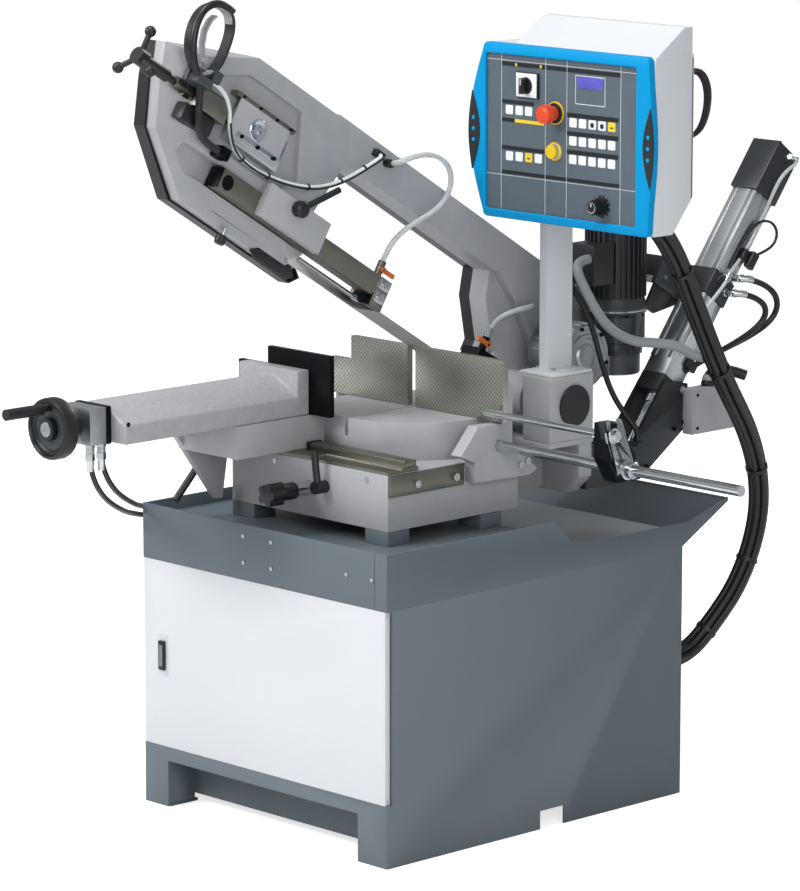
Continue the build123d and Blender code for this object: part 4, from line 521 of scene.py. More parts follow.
def held_cord(name, line, radius, material, body):
    """Tube that one body carries from end to end."""
    bm = bmesh.new()
    sweep(bm, line_frames(line), radius, 12)
    obj = piece(name, bm, body, material)
    print(name, "length", round(line_length(line), 3), "m")
    return obj


def bending_cord(name, line, radius, material, strands=None,
                 ties=()):
    """Tube, or bundle of strands, that no body carries."""
    bm = bmesh.new()
    frames = line_frames(line)
    for reach, turn, strand_radius in strands or [(0.0, 0.0, radius)]:
        shift = (reach * math.cos(turn), reach * math.sin(turn))
        sweep(bm, frames, strand_radius, 14, shift)
    obj = loose_piece(name, bm, material)
    for bent in (obj, *ties):
        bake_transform(bent)
    print(name, "length", round(line_length(line), 3), "m")
    return obj


# %% Bow frame
# The bow is drawn along its blade: P runs along the blade from the hinge, Q square to it.
HINGE = Vector((0, 218, 898)) * MM
RAISE = math.radians(31.6)
BOW = Matrix.Translation(HINGE) @ Matrix.Rotation(-RAISE, 4, "X")


def bow_route(route):
    """Bow places in millimetres to machine places in millimetres."""
    return [(BOW @ (Vector(place) * MM)) / MM for place in route]


# %% Vise hoses
HOSE_R = 6.0
HOSE_PITCH = 26.0
HOSE_ROUTE = [(-150, -803, 868), (-150, -803, 836), (-166, -776, 794), (-208, -718, 752), (-272, -640, 716),
              (-342, -558, 684), (-408, -486, 658), (-446, -420, 638), (-458, -360, 624), (-448, -304, 616),
              (-425, -278, 612), (-388, -278, 612)]
HOSE_SPREAD = Vector((0.2, 1.0, 0.5))
HOSE_SPLIT = 0.5      # the line is cut here: one half runs from the ram to the slide, the other from there to the cabinet


def hose_route(step):
    """Route of the first or second hose: the second lies beside the first and ends square in the wall."""
    shift = step * HOSE_PITCH
    start = Vector(HOSE_ROUTE[0]) + Vector((shift * HOSE_SPREAD.x, shift * HOSE_SPREAD.y, 0))
    middle = [Vector(point) + HOSE_SPREAD * shift for point in HOSE_ROUTE[1:-2]]
    ends = [Vector(point) + Vector((0, shift, 0)) for point in HOSE_ROUTE[-2:]]
    return [start] + middle + ends


for step in (0, 1):
    line = smooth_line(hose_route(step))
    cut = int(len(line) * HOSE_SPLIT)
    ram_half = bending_cord(f"vise_hose_ram_{step}", line[:cut + 1], HOSE_R * MM, HOSE_BLACK)
    bending_cord(f"vise_hose_wall_{step}", line[cut:], HOSE_R * MM, HOSE_BLACK)
    if step == 0:
        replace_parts(ram_half, "vise_hoses")

# %% Cable bundle from the panel to the cabinet
BUNDLE_R = 24.0
BUNDLE_ROUTE = [(530, 164.5, 1358.5), (530, 211.1, 1320.7), (512, 290, 1245), (495, 372, 1120),
                (478, 478, 955), (440, 612, 812), (405, 690, 690), (398, 694, 580), (385, 650, 455),
                (362, 578, 360), (340, 522, 300), (340, 468, 300)]
bundle_line = smooth_line(BUNDLE_ROUTE, 10)
STRANDS = 6
TIE_WIDTH = 9
TIE_SHARES = (0.18, 0.34, 0.52, 0.7, 0.86)
strand_r = 8.4 * MM
strands = [(BUNDLE_R * MM - strand_r, 2 * math.pi * n / STRANDS, strand_r) for n in range(STRANDS)]
bands = bmesh.new()
for share in TIE_SHARES:
    place = int(share * len(bundle_line))
    along = (bundle_line[place + 1] - bundle_line[place]).normalized()
    ends = [bundle_line[place], bundle_line[place] + along * TIE_WIDTH * MM]
    sweep(bands, line_frames(ends), (BUNDLE_R + 1.4) * MM, 28)
tie_bands = loose_piece("bundle_tie_bands", bands, BLACK_PLASTIC)
bundle = bending_cord("cable_bundle_hoses", bundle_line, BUNDLE_R * MM, HOSE_BLACK,
                      strands + [(0, 0, strand_r)], (tie_bands,))
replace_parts(bundle, "cable_bundle")

# %% Conduit and lead of the motor
CONDUIT_R = 11.0
CONDUIT_ROUTE = [(150, 395, 1190), (150, 366, 1190), (168, 338, 1172), (196, 338, 1132), (218, 350, 1086),
                 (252, 358, 1048), (302, 378, 1024), (352, 408, 1024), (394, 430, 1020),
                 (428.9, 440.4, 1000), (457.6, 444.9, 1000)]
LEAD_R = 6.5
LEAD_ROUTE = [(118, 395, 1160), (118, 366, 1160), (140, 344, 1140), (174, 352, 1098), (194, 366, 1040),
              (210, 376, 966), (228, 394, 892), (256, 420, 836), (271, 432, 814), (271, 432, 790)]
conduit = bending_cord("motor_conduit_hose", smooth_line(CONDUIT_ROUTE), CONDUIT_R * MM, GREY_PVC)
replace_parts(conduit, "motor_conduit")
bending_cord("cylinder_lead", smooth_line(LEAD_ROUTE), LEAD_R * MM, HOSE_BLACK)

# %% Cable and hose on the bow
CABLE_R = 4.5
CABLE_ROUTE = [(76, -1140, 192), (76, -1104, 192), (74, -1066, 170), (70, -1040, 128), (66, -1000, 98),
               (64, -944, 92), (64, -880, 98), (65, -812, 114), (66, -752, 138), (66, -706, 172),
               (66, -668, 212), (68, -640, 250), (74, -618, 284), (50, -618, 284)]
GUIDE_HOSE_R = 6.0
GUIDE_HOSE_ROUTE = [(50, -584, 280), (78, -584, 280), (96, -566, 306), (102, -528, 336), (104, -482, 346),
                    (100, -440, 332), (92, -416, 296), (80, -420, 252), (64, -440, 216), (46, -456, 180),
                    (30, -462, 140), (30, -462, 100)]
cable_line = smooth_line(bow_route(CABLE_ROUTE))
cable = held_cord("bow_cable_sheath", cable_line, CABLE_R * MM, KEY_PRINT, "bow")
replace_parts(cable, "bow_cable")
guide_hose = bending_cord("guide_hose_tube", smooth_line(bow_route(GUIDE_HOSE_ROUTE)), GUIDE_HOSE_R * MM,
                          CLEAR_HOSE)
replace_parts(guide_hose, "guide_hose")

# %% [markdown]
# ## Shape helpers
# Most small parts are blocks, turned parts or cut plates. Each helper makes one such shape in
# millimetres with its edges rounded, and `gather` joins several into one piece on a body.


# %% Blocks, turned parts and plates
def block(low, high, radius=1.0):
    """Rounded block between two corners."""
    bm = bmesh.new()
    bmesh.ops.create_cube(bm, size=1.0)
    size = Vector(high) - Vector(low)
    middle = (Vector(high) + Vector(low)) / 2
    bm.transform(Matrix.Translation(middle) @ Matrix.Diagonal((*size, 1)))
    if radius:
        round_edges(bm, radius, 2)
    return bm


def turned(start, end, profile, sides=32):
    """Part turned about the line from start to end; profile is (distance along, radius) from start."""
    bm = bmesh.new()
    along = (Vector(end) - Vector(start)).normalized()
    across = along.orthogonal().normalized()
    up = along.cross(across)
    rings = []
    for distance, radius in profile:
        centre = Vector(start) + along * distance
        if radius <= 0:
            rings.append([bm.verts.new(centre)])
            continue
        ring = []
        for n in range(sides):
            turn = 2 * math.pi * n / sides
            ring.append(bm.verts.new(centre + (across * math.cos(turn) + up * math.sin(turn)) * radius))
        rings.append(ring)
    for ring, after in zip(rings, rings[1:]):
        for n in range(sides):
            m = (n + 1) % sides
            loop = [ring[n % len(ring)], ring[m % len(ring)], after[m % len(after)], after[n % len(after)]]
            bm.faces.new(list(dict.fromkeys(loop)))
    for ring in (rings[0], rings[-1]):
        if len(ring) > 1:
            bm.faces.new(ring)
    bmesh.ops.recalc_face_normals(bm, faces=bm.faces)
    return bm


def rod(start, end, radius, edge=0.6, sides=32):
    """Round bar with its rims broken."""
    length = (Vector(end) - Vector(start)).length
    profile = [(0, radius - edge), (edge, radius), (length - edge, radius), (length, radius - edge)]
    return turned(start, end, profile, sides)


def plate(outline, low, high, axis="X", radius=1.0):
    """Outline drawn out along an axis: (y, z) for X, (x, z) for Y, (x, y) for Z."""
    bm = bmesh.new()
    order = {"X": lambda a, b, h: (h, a, b),
             "Y": lambda a, b, h: (a, h, b),
             "Z": lambda a, b, h: (a, b, h)}[axis]
    lower = [bm.verts.new(order(a, b, low)) for a, b in outline]
    upper = [bm.verts.new(order(a, b, high)) for a, b in outline]
    bm.faces.new(lower)
    bm.faces.new(list(reversed(upper)))
    for n in range(len(outline)):
        m = (n + 1) % len(outline)
        bm.faces.new((lower[m], lower[n], upper[n], upper[m]))
    bmesh.ops.recalc_face_normals(bm, faces=bm.faces)
    if radius:
        round_edges(bm, radius, 2)
    return bm


def disc_outline(centre, radius, start=0.0, stretch=360.0, steps=24):
    """Points round an arc, for an outline."""
    turns = [math.radians(start + stretch * n / steps) for n in range(steps + (stretch < 360))]
    return [(centre[0] + radius * math.cos(t), centre[1] + radius * math.sin(t)) for t in turns]


def wire(points, radius, sides=12):
    """Bent bar or tube along a smooth line past the points."""
    bm = bmesh.new()
    sweep(bm, line_frames([v / MM for v in smooth_line(points)]), radius, sides)
    return bm


def gather(name, parts, body, material, matrix=None):
    """One piece from several shapes in millimetres."""
    joined = bmesh.new()
    scratch = bpy.data.meshes.new("scratch")
    for part in parts:
        part.to_mesh(scratch)
        part.free()
        joined.from_mesh(scratch)
    bpy.data.meshes.remove(scratch)
    joined.transform(Matrix.Diagonal((MM, MM, MM, 1)))
    if matrix:
        joined.transform(matrix)
    return piece(name, joined, body, material)


# %% [markdown]
# ## Screws
# Socket-head screws repeat all over the machine. One Geometry Nodes tree makes the head, cuts its
# hexagon, sets a copy on each point along the point's own direction, and realizes the copies.


# %% Screw tree
def screw_tree(name, sides, recess_sides):
    tree = bpy.data.node_groups.new(name, "GeometryNodeTree")
    tree.interface.new_socket("Points", in_out="INPUT", socket_type="NodeSocketGeometry")
    for label, default in (("Head radius", 0.005), ("Head height", 0.005), ("Recess radius", 0.0025)):
        socket = tree.interface.new_socket(label, in_out="INPUT", socket_type="NodeSocketFloat")
        socket.default_value = default
    tree.interface.new_socket("Finish", in_out="INPUT", socket_type="NodeSocketMaterial")
    tree.interface.new_socket("Screws", in_out="OUTPUT", socket_type="NodeSocketGeometry")
    given = add(tree, "NodeGroupInput").outputs
    head = add(tree, "GeometryNodeMeshCylinder", {"Vertices": sides},
               {"Radius": given["Head radius"], "Depth": given["Head height"]})
    deep = add(tree, "ShaderNodeMath", {1: 0.9}, {0: given["Head height"]}, operation="MULTIPLY")
    recess = add(tree, "GeometryNodeMeshCylinder", {"Vertices": recess_sides},
                 {"Radius": given["Recess radius"], "Depth": deep.outputs[0]})
    lift = add(tree, "ShaderNodeMath", {1: 0.6}, {0: given["Head height"]}, operation="MULTIPLY")
    up = add(tree, "ShaderNodeCombineXYZ", links={"Z": lift.outputs[0]})
    raised = add(tree, "GeometryNodeTransform",
                 links={"Geometry": recess.outputs[0], "Translation": up.outputs[0]})
    cut = add(tree, "GeometryNodeMeshBoolean", links={0: head.outputs[0], 1: raised.outputs[0]},
              operation="DIFFERENCE")
    half = add(tree, "ShaderNodeMath", {1: 0.5}, {0: given["Head height"]}, operation="MULTIPLY")
    seat = add(tree, "ShaderNodeCombineXYZ", links={"Z": half.outputs[0]})
    seated = add(tree, "GeometryNodeTransform",
                 links={"Geometry": cut.outputs[0], "Translation": seat.outputs[0]})
    aim = add(tree, "GeometryNodeInputNamedAttribute", {"Name": "aim"}, data_type="FLOAT_VECTOR")
    turn = add(tree, "FunctionNodeAlignRotationToVector", links={"Vector": aim.outputs[0]}, axis="Z")
    copies = add(tree, "GeometryNodeInstanceOnPoints",
                 links={"Points": given["Points"], "Instance": seated.outputs[0],
                        "Rotation": turn.outputs[0]})
    real = add(tree, "GeometryNodeRealizeInstances", links={0: copies.outputs[0]})
    dressed = add(tree, "GeometryNodeSetMaterial",
                  links={"Geometry": real.outputs[0], "Material": given["Finish"]})
    add(tree, "NodeGroupOutput", links={0: dressed.outputs[0]})
    return tree


SOCKET_SCREW = screw_tree("socket_screw", 24, 6)
HEX_BOLT = screw_tree("hex_bolt", 6, 20)


def grown(name, mesh, tree, values, body, matrix=None):
    """Run a tree on a mesh, keep the result as a plain mesh piece on a body."""
    seed = bpy.data.objects.new(name + "_seed", mesh)
    bpy.context.scene.collection.objects.link(seed)
    modifier = seed.modifiers.new("grow", "NODES")
    modifier.node_group = tree
    for item in tree.interface.items_tree:
        if item.in_out == "INPUT" and item.name in values:
            modifier[item.identifier] = values[item.name]
    evaluated = seed.evaluated_get(bpy.context.evaluated_depsgraph_get())
    made = bpy.data.meshes.new_from_object(evaluated)
    bpy.data.objects.remove(seed)
    if matrix:
        made.transform(matrix)
    shade(made)
    obj = bpy.data.objects.new(name, made)
    bpy.context.scene.collection.objects.link(obj)
    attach(obj, body)
    return obj


def points_mesh(places, aims, matrix=None):
    """Loose points with a direction each; places in millimetres."""
    place = matrix or Matrix.Identity(4)
    mesh = bpy.data.meshes.new("points")
    mesh.from_pydata([place @ (Vector(p) * MM) for p in places], [], [])
    attribute = mesh.attributes.new("aim", "FLOAT_VECTOR", "POINT")
    for n, aim in enumerate(aims):
        attribute.data[n].vector = place.to_3x3() @ Vector(aim)
    return mesh


def screws(name, places, aim, body, head=6.0, height=5.0, material=None, tree=None, matrix=None):
    """Screw heads at these places, all facing one way."""
    mesh = points_mesh(places, [aim] * len(places), matrix)
    values = {"Head radius": head * MM, "Head height": height * MM, "Recess radius": head * 0.5 * MM,
              "Finish": material or BLACK_OXIDE}
    return grown(name, mesh, tree or SOCKET_SCREW, values, body)


# %% [markdown]
# ## The large pieces
# Every solid gets the finish of its real part, and rounded edges by how it was made: folded sheet,
# casting, ground plate or turned bar.

# %% Dress every CAD solid
DRESSED = [
    ("cabinet_body", CABINET_PAINT, 2.0), ("coolant_tray", CABINET_PAINT, 0.8),
    ("cabinet_door", WHITE_PAINT, 2.5), ("door_latch", BLACK_PLASTIC, 1.2),
    ("coolant_unit", TANK_PAINT, 4.0), ("hydraulic_power_pack", TANK_PAINT, 4.0),
    ("pedestal_pads", CABINET_PAINT, 2.0), ("base_casting", GREY_PAINT, 4.0),
    ("vise_rails", KHAKI_STEEL, 1.0), ("stop_bracket", GREY_PAINT, 3.0),
    ("fixed_jaw_plates", JAW_STEEL, 1.0), ("vise_body", GREY_PAINT, 4.0),
    ("vise_arm", WRINKLE_PAINT, 4.0), ("movable_jaw", BLACK_OXIDE, 1.2),
    ("vise_hydraulic_block", ALUMINIUM, 2.5), ("vise_clamp_lever", BLACK_PLASTIC, 2.0),
    ("turret_lock_knob", BLACK_PLASTIC, 1.5), ("vise_lock_lever", BLACK_PLASTIC, 2.0),
    ("stop_carriage", BLACK_OXIDE, 1.5), ("turntable", GREY_PAINT, 2.5),
    ("hinge_block", GREY_PAINT, 3.0), ("hinge_cap", BLACK_PLASTIC, 2.0),
    ("panel_post", WHITE_PAINT, 2.5), ("panel_box", WHITE_PAINT, 2.5),
    ("cylinder_bracket", BLACK_ENAMEL, 1.5), ("valve_box", GREY_PAINT, 3.0),
    ("bow_casting", GREY_PAINT, 4.0), ("gearbox", ALUMINIUM, 3.0),
    ("rear_guide", BLACK_OXIDE, 1.5), ("guide_arm", KHAKI_STEEL, 1.5),
    ("guide_lever", BLACK_PLASTIC, 2.0), ("front_valve_lever", ORANGE_PLASTIC, 1.5),
    ("rear_valve_lever", ORANGE_PLASTIC, 1.5), ("tension_carriage", BRIGHT_STEEL, 1.5),
    ("lift_arm", DARK_PAINT, 2.0), ("lift_cylinder", ANODISED, 2.0),
    ("drive_motor", BLACK_ENAMEL, 2.0),
]
PAINTED = {
    "stop_rail": CHROME, "stop_rod": CHROME, "vise_lead_screw": BRIGHT_STEEL,
    "hinge_shaft": BRIGHT_STEEL, "cylinder_rod": CHROME, "drive_wheel": MACHINED_IRON,
    "idler_wheel": MACHINED_IRON, "saw_blade": BAND_STEEL, "vise_handwheel": BLACK_PLASTIC,
    "selector_knob": BLACK_PLASTIC, "estop_button": RED_PLASTIC, "start_button": YELLOW_PLASTIC,
    "speed_knob": BLACK_PLASTIC, "tension_knob": BLACK_PLASTIC, "blade_cover": BLACK_PLASTIC,
}
for node, material, radius in DRESSED:
    dress(node, material, radius)
for node, material in PAINTED.items():
    paint(node, material)
print("dressed:", len(DRESSED), "painted:", len(PAINTED))

# %% [markdown]
# ## Saw bow
# The bow's near face carries what the operator touches: the blade tensioner in its pocket, the
# closed hand loop with its brace tube, the clamp of the sliding guide. I work in the bow's own
# frame, so that every size is along the blade or square to it, and turn the result up at the end.


# %% Tensioner in its pocket
def on_bow(name, parts, body, material):
    return gather(name, parts, body, material, BOW)


on_bow("carriage_face", [block((56, -1036, 122), (63, -878, 207), 2.0)], "tensioner", GREY_PAINT)
on_bow("carriage_boss", [turned((63, -962, 168), (70, -962, 168),
                                [(-1, 24), (1.5, 24), (2.5, 22.5), (2.5, 19), (1.2, 16), (0.6, 10),
                                 (1.6, 4), (2.4, 0)], 40)],
       "tensioner", CHROME)
on_bow("carriage_strip", [block((61, -1012, 128), (66.5, -884, 142), 1.2)], "tensioner", BRIGHT_STEEL)
screws("carriage_screws", [(66.5, p, 135) for p in (-1000, -948, -896)], (1, 0, 0), "tensioner", 4.5, 3.0,
       matrix=BOW)
on_bow("carriage_gib", [block((37, -1050, 207), (60, -862, 217), 1.0)], "bow", KHAKI_STEEL)
screws("gib_screws", [(60, p, 212) for p in (-1030, -976, -922, -876)], (1, 0, 0), "bow", 3.6, 2.0,
       matrix=BOW)
spring_block = [block((34, -1152, 130), (74, -1062, 176), 2.0)]
on_bow("tension_block", spring_block, "bow", KHAKI_STEEL)
KNURL = 4.0
ridges = [block((38 + n * KNURL, -1148, 175.5), (41 + n * KNURL, -1066, 178), 0.6) for n in range(9)]
on_bow("tension_block_knurl", ridges, "bow", BLACK_OXIDE)
on_bow("tension_switch", [block((34, -1170, 92), (66, -1078, 129), 3.0),
                          rod((66, -1120, 108), (72, -1120, 108), 6.0)], "bow", BLACK_PLASTIC)
collar = [turned((40, -1205, 157), (40, -1152, 157),
                 [(0, 14), (1, 15), (30, 15), (31, 18), (50, 18), (52, 16)], 6)]
on_bow("tension_nut", collar, "bow", KHAKI_STEEL)
print("tensioner ridges:", len(ridges))

# %% Hand loop
# A flat strap closes the loop on its far side, and the round tube on its near side runs down into
# the brace. The strap's section is swept along the loop as a rounded rectangle.
LOOP = [(-1176, 186), (-1196, 196), (-1222, 214), (-1242, 250), (-1244, 294), (-1226, 326), (-1194, 340),
        (-1164, 334), (-1146, 308), (-1140, 268), (-1140, 232), (-1150, 204), (-1168, 188)]
LOOP_X = 72.0
STRAP_W = 15.0
STRAP_T = 3.6


def strap(points, half_width, half_thick):
    """Closed strap round a loop: half_width along X, half_thick in the loop's plane."""
    bm = bmesh.new()
    line = [v / MM for v in smooth_line([(0, *point) for point in points + points[:3]])]
    count = len(line)
    lap = [n for n in range(count // 2, count) if (line[n] - line[count // 12]).length < 9.0]
    line = line[count // 12:lap[0]]
    section = [(-half_width, -half_thick * 0.4), (-half_width * 0.86, -half_thick),
               (half_width * 0.86, -half_thick), (half_width, -half_thick * 0.4),
               (half_width, half_thick * 0.4), (half_width * 0.86, half_thick),
               (-half_width * 0.86, half_thick), (-half_width, half_thick * 0.4)]
    rings = []
    for n, here in enumerate(line):
        along = (line[(n + 1) % len(line)] - line[n - 1]).normalized()
        out = Vector((0, along.z, -along.y))
        rings.append([bm.verts.new(Vector((LOOP_X + x, here.y, here.z)) + out * t) for x, t in section])
    for n, ring in enumerate(rings):
        after = rings[(n + 1) % len(rings)]
        for k in range(len(section)):
            m = (k + 1) % len(section)
            bm.faces.new((ring[k], ring[m], after[m], after[k]))
    return bm


GRIP = [(82, -1176, 176), (82, -1206, 196), (82, -1232, 232), (82, -1246, 280), (82, -1236, 320),
        (82, -1200, 344), (82, -1168, 340)]
BRACE = [(82, -1176, 178), (80, -1158, 150), (78, -1138, 112), (76, -1116, 84), (74, -1084, 76),
         (74, -1030, 78)]
TUBE_RADIUS = 8.0
handle = [strap(LOOP, STRAP_W, STRAP_T), wire(GRIP, TUBE_RADIUS, 16), wire(BRACE, TUBE_RADIUS, 16)]
hand_loop = on_bow("loop_handle_strap", handle, "bow", BLACK_ENAMEL)
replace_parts(hand_loop, "loop_handle")
liner = [(p * 0.985 - 17.6, q * 0.94 + 16) for p, q in LOOP]
on_bow("loop_inner_liner", [strap(liner, STRAP_W - 3.0, 1.6)], "bow", GREY_PAINT)
on_bow("loop_foot",
       [block((50, -1196, 166), (62, -1132, 208), 2.0), block((60, -1190, 168), (90, -1144, 190), 3.0),
        block((58, -1150, 190), (88, -1126, 216), 2.0)], "bow", DARK_PAINT)
TRIGGER = [(-1176, 222), (-1190, 230), (-1204, 248), (-1212, 274), (-1210, 300), (-1202, 314)]
inner = [(p + 5.0, q - 1.0) for p, q in TRIGGER]
lever = [plate(TRIGGER + inner[::-1], LOOP_X - 9, LOOP_X + 9, "X", 1.2),
         rod((LOOP_X - 5, -1176, 222), (LOOP_X + 5, -1176, 222), 7.0)]
trigger = on_bow("trigger_lever", lever, "trigger", GREY_PAINT)
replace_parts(trigger, "handle_trigger")
on_bow("brace_clamp", [block((50, -1048, 66), (84, -1020, 92), 2.5)], "bow", BLACK_OXIDE)
screws("brace_screws", [(84, -1042, 84), (84, -1027, 74)], (1, 0, 0), "bow", 4.0, 2.5, matrix=BOW)
print("hand loop done")

# %% Cable along the bow, its tie wraps and clip
LEAD_FROM = 18      # the thin lead joins the cable at this point of its line
LEAD_BESIDE = Vector((4.6, 0, -3.4))
black_line = [v + LEAD_BESIDE * MM for v in cable_line[LEAD_FROM:]]
lead = bmesh.new()
sweep(lead, line_frames(black_line), 2.4 * MM, 10)
piece("bow_cable_lead", lead, "bow", HOSE_BLACK)
TIES = (0.34, 0.46, 0.6, 0.74, 0.86)
tie_parts = []
for share in TIES:
    n = int(share * (len(cable_line) - 2))
    here, nxt = cable_line[n] / MM, cable_line[n + 1] / MM
    along = (nxt - here).normalized()
    tie_parts.append(turned(here - along * 2, here + along * 2,
                            [(0, 6.6), (0.5, 7.2), (3.5, 7.2), (4, 6.6)], 20))
gather("cable_ties", tie_parts, "bow", BLACK_PLASTIC)
on_bow("cable_clip", [block((48, -632, 276), (64, -604, 292), 2.0)], "bow", BLACK_PLASTIC)
on_bow("hose_clip", [rod((50, -584, 280), (70, -584, 280), 9.5, 1.0)], "bow", BLACK_PLASTIC)
print("cable ties:", len(tie_parts))

# %% Guide bar, head and blade guards
on_bow("guide_bar_bolt",
       [turned((60, -980, 36), (74, -980, 36),
               [(0, 15), (2.1, 15), (2.2, 14.6), (2.2, 9), (1.4, 8.4), (1.4, 0)], 36)],
       "guide", KHAKI_STEEL)
on_bow("guide_bolt_ring",
       [turned((60, -980, 36), (74, -980, 36), [(0, 16.5), (2.2, 16.5), (2.25, 16.2), (2.25, 14.8)], 36)],
       "guide", BLACK_OXIDE)
on_bow("guide_end_stop", [block((23, -1006, 14.5), (61.8, -998, 59.5), 1.5)], "guide", BLACK_OXIDE)
on_bow("guide_head_plates",
       [block((61, -478, 34), (66, -444, 60), 1.0), block((61, -478, 4), (66, -444, 30), 1.0)],
       "guide", BRIGHT_STEEL)
screws("guide_head_screws", [(66, -461, 47), (66, -461, 17)], (1, 0, 0), "guide", 7.0, 5.0, BRIGHT_STEEL,
       matrix=BOW)
on_bow("carbide_holder",
       [block((-12, -476, -9), (40, -446, 0), 1.5), block((8, -486, -8.8), (62, -478, 22), 1.5)],
       "guide", BLACK_OXIDE)
on_bow("guide_wear_rod",
       [rod((30, -690, -4.2), (30, -486, -4.2), 4.5), block((24, -500, -9), (36, -484, 2), 1.0)],
       "guide", BRIGHT_STEEL)
GUARD = [(-811, -42), (-779, -20), (-686, -20), (-664, -38), (-682, -52), (-790, -52)]
on_bow("blade_guard", [plate(GUARD, 9, 13, "X", 0.8)], "bow", BLACK_ENAMEL)
on_bow("guard_knob_neck", [rod((18, -900, -36), (18, -900, -54), 5.5)], "bow", CHROME)
on_bow("guard_knob",
       [turned((18, -900, -52), (18, -900, -80), [(0, 9), (2, 12), (14, 12.5), (20, 10), (22, 0)], 28)],
       "bow", BLACK_PLASTIC)
on_bow("casting_seam", [plate([(-716, 303), (-713, 303), (-678, 236), (-681, 236)], 49.6, 51.0, "X", 0.4)],
       "bow", GREY_PAINT)
on_bow("clamp_lever_hub",
       [turned((80.5, -791, 71), (112, -791, 71), [(0, 17), (3, 18), (20, 18), (24, 13), (26, 0)], 10)],
       "guide_clamp", BLACK_PLASTIC)
print("guide and guard pieces done")

# %% [markdown]
# ## Control panel
# The panel is a film stuck on a steel face inside a blue moulded frame. I lay the film first, then
# the printed lines, keys and strips as thin layers, each a little nearer than the last so that no
# two share a plane. Keys and strips are plain colour, so their sizes and places carry the look.

# %% Film, lines and stripes
FACE = 70.0
FILM = FACE - 0.8
PRINT = FACE - 1.3


def layer(x0, z0, x1, z1, front):
    """Thin printed rectangle on the panel's face."""
    return block((x0, front, z0), (x1, FACE, z1), 0.0)


gather("panel_film", [layer(156.2, 1338.2, 602.8, 1675.8, FILM)], "turret", MEMBRANE)
lines = [layer(x - 0.4, 1338.5, x + 0.4, 1675.5, PRINT) for x in (200, 332.6, 396, 553.5)]
lines += [layer(156.5, z - 0.4, 602.5, z + 0.4, PRINT + 0.1) for z in (1662.5, 1414)]
gather("panel_lines", lines, "turret", KEY_PRINT)
STRIPE = PRINT + 0.2
gather("panel_stripes", [layer(201, 1650.5, 552.5, 1659.5, STRIPE), layer(201, 1417, 552.5, 1425, STRIPE)],
       "turret", MEMBRANE_DARK)
print("panel lines:", len(lines))

# %% Keys
# Five columns by three rows on the right and two short rows on the left. One tree sets a rounded
# key on every point, so pitch and key size are single numbers.
KEY_W = 21.5
KEY_H = 19.6
KEY_CORNER = 3.0
KEY_LIFT = 1.1


def key_tree(name):
    tree = bpy.data.node_groups.new(name, "GeometryNodeTree")
    tree.interface.new_socket("Points", in_out="INPUT", socket_type="NodeSocketGeometry")
    for label, default in (("Width", 0.02), ("Height", 0.02), ("Corner", 0.002), ("Lift", 0.001)):
        socket = tree.interface.new_socket(label, in_out="INPUT", socket_type="NodeSocketFloat")
        socket.default_value = default
    tree.interface.new_socket("Finish", in_out="INPUT", socket_type="NodeSocketMaterial")
    tree.interface.new_socket("Keys", in_out="OUTPUT", socket_type="NodeSocketGeometry")
    given = add(tree, "NodeGroupInput").outputs
    outline = add(tree, "GeometryNodeCurvePrimitiveQuadrilateral",
                  links={"Width": given["Width"], "Height": given["Height"]})
    rounded = add(tree, "GeometryNodeFilletCurve", {"Count": 4},
                  {"Curve": outline.outputs[0], "Radius": given["Corner"]}, mode="POLY")
    face = add(tree, "GeometryNodeFillCurve", links={"Curve": rounded.outputs[0]}, mode="NGONS")
    solid = add(tree, "GeometryNodeExtrudeMesh", {"Individual": False},
                {"Mesh": face.outputs[0], "Offset Scale": given["Lift"]})
    aim = add(tree, "GeometryNodeInputNamedAttribute", {"Name": "aim"}, data_type="FLOAT_VECTOR")
    turn = add(tree, "FunctionNodeAlignRotationToVector", links={"Vector": aim.outputs[0]}, axis="Z")
    copies = add(tree, "GeometryNodeInstanceOnPoints",
                 links={"Points": given["Points"], "Instance": solid.outputs[0],
                        "Rotation": turn.outputs[0]})
    real = add(tree, "GeometryNodeRealizeInstances", links={0: copies.outputs[0]})
    dressed = add(tree, "GeometryNodeSetMaterial",
                  links={"Geometry": real.outputs[0], "Material": given["Finish"]})
    add(tree, "NodeGroupOutput", links={0: dressed.outputs[0]})
    return tree


KEY_TREE = key_tree("membrane_keys")


def keys(name, places, width, height, corner, lift, material):
    """Rounded keys at these (x, z) centres on the film."""
    mesh = points_mesh([(x, FILM, z) for x, z in places], [(0, -1, 0)] * len(places))
    values = {"Width": width * MM, "Height": height * MM, "Corner": corner * MM, "Lift": lift * MM,
              "Finish": material}
    return grown(name, mesh, KEY_TREE, values, "turret")


COLUMNS = (415, 443, 471.7, 500.2, 528.4)
ROWS = (1544, 1505, 1465.5)
white_keys = [(x, z) for z in ROWS for x in COLUMNS if (x, z) != (COLUMNS[4], ROWS[0])]
white_keys += [(224.4, 1556.5), (254, 1556.8), (282.6, 1557)]
white_keys += [(225.5, 1456.5), (254.6, 1457), (312.4, 1458)]
yellow_keys = [(COLUMNS[4], ROWS[0]), (283.4, 1457.5)]
keys("white_keys", white_keys, KEY_W, KEY_H, KEY_CORNER, KEY_LIFT, KEY_PRINT)
keys("yellow_keys", yellow_keys, KEY_W, KEY_H, KEY_CORNER, KEY_LIFT, KEY_YELLOW)
dots = [(COLUMNS[2], ROWS[0] - 1), (COLUMNS[3], ROWS[0] - 1)]
keys("key_dots", dots, 11.0, 11.0, 5.3, 1.5, MEMBRANE_DARK)
marks = [(COLUMNS[4], ROWS[0] - 2), (283.4, 1455.5)]
keys("key_marks", marks, 9.0, 3.0, 1.2, 1.4, MEMBRANE_DARK)
strips = [(471.5, z + 15.6) for z in ROWS]
keys("label_strips", strips, 152.0, 9.4, 1.0, 0.45, MEMBRANE_DARK)
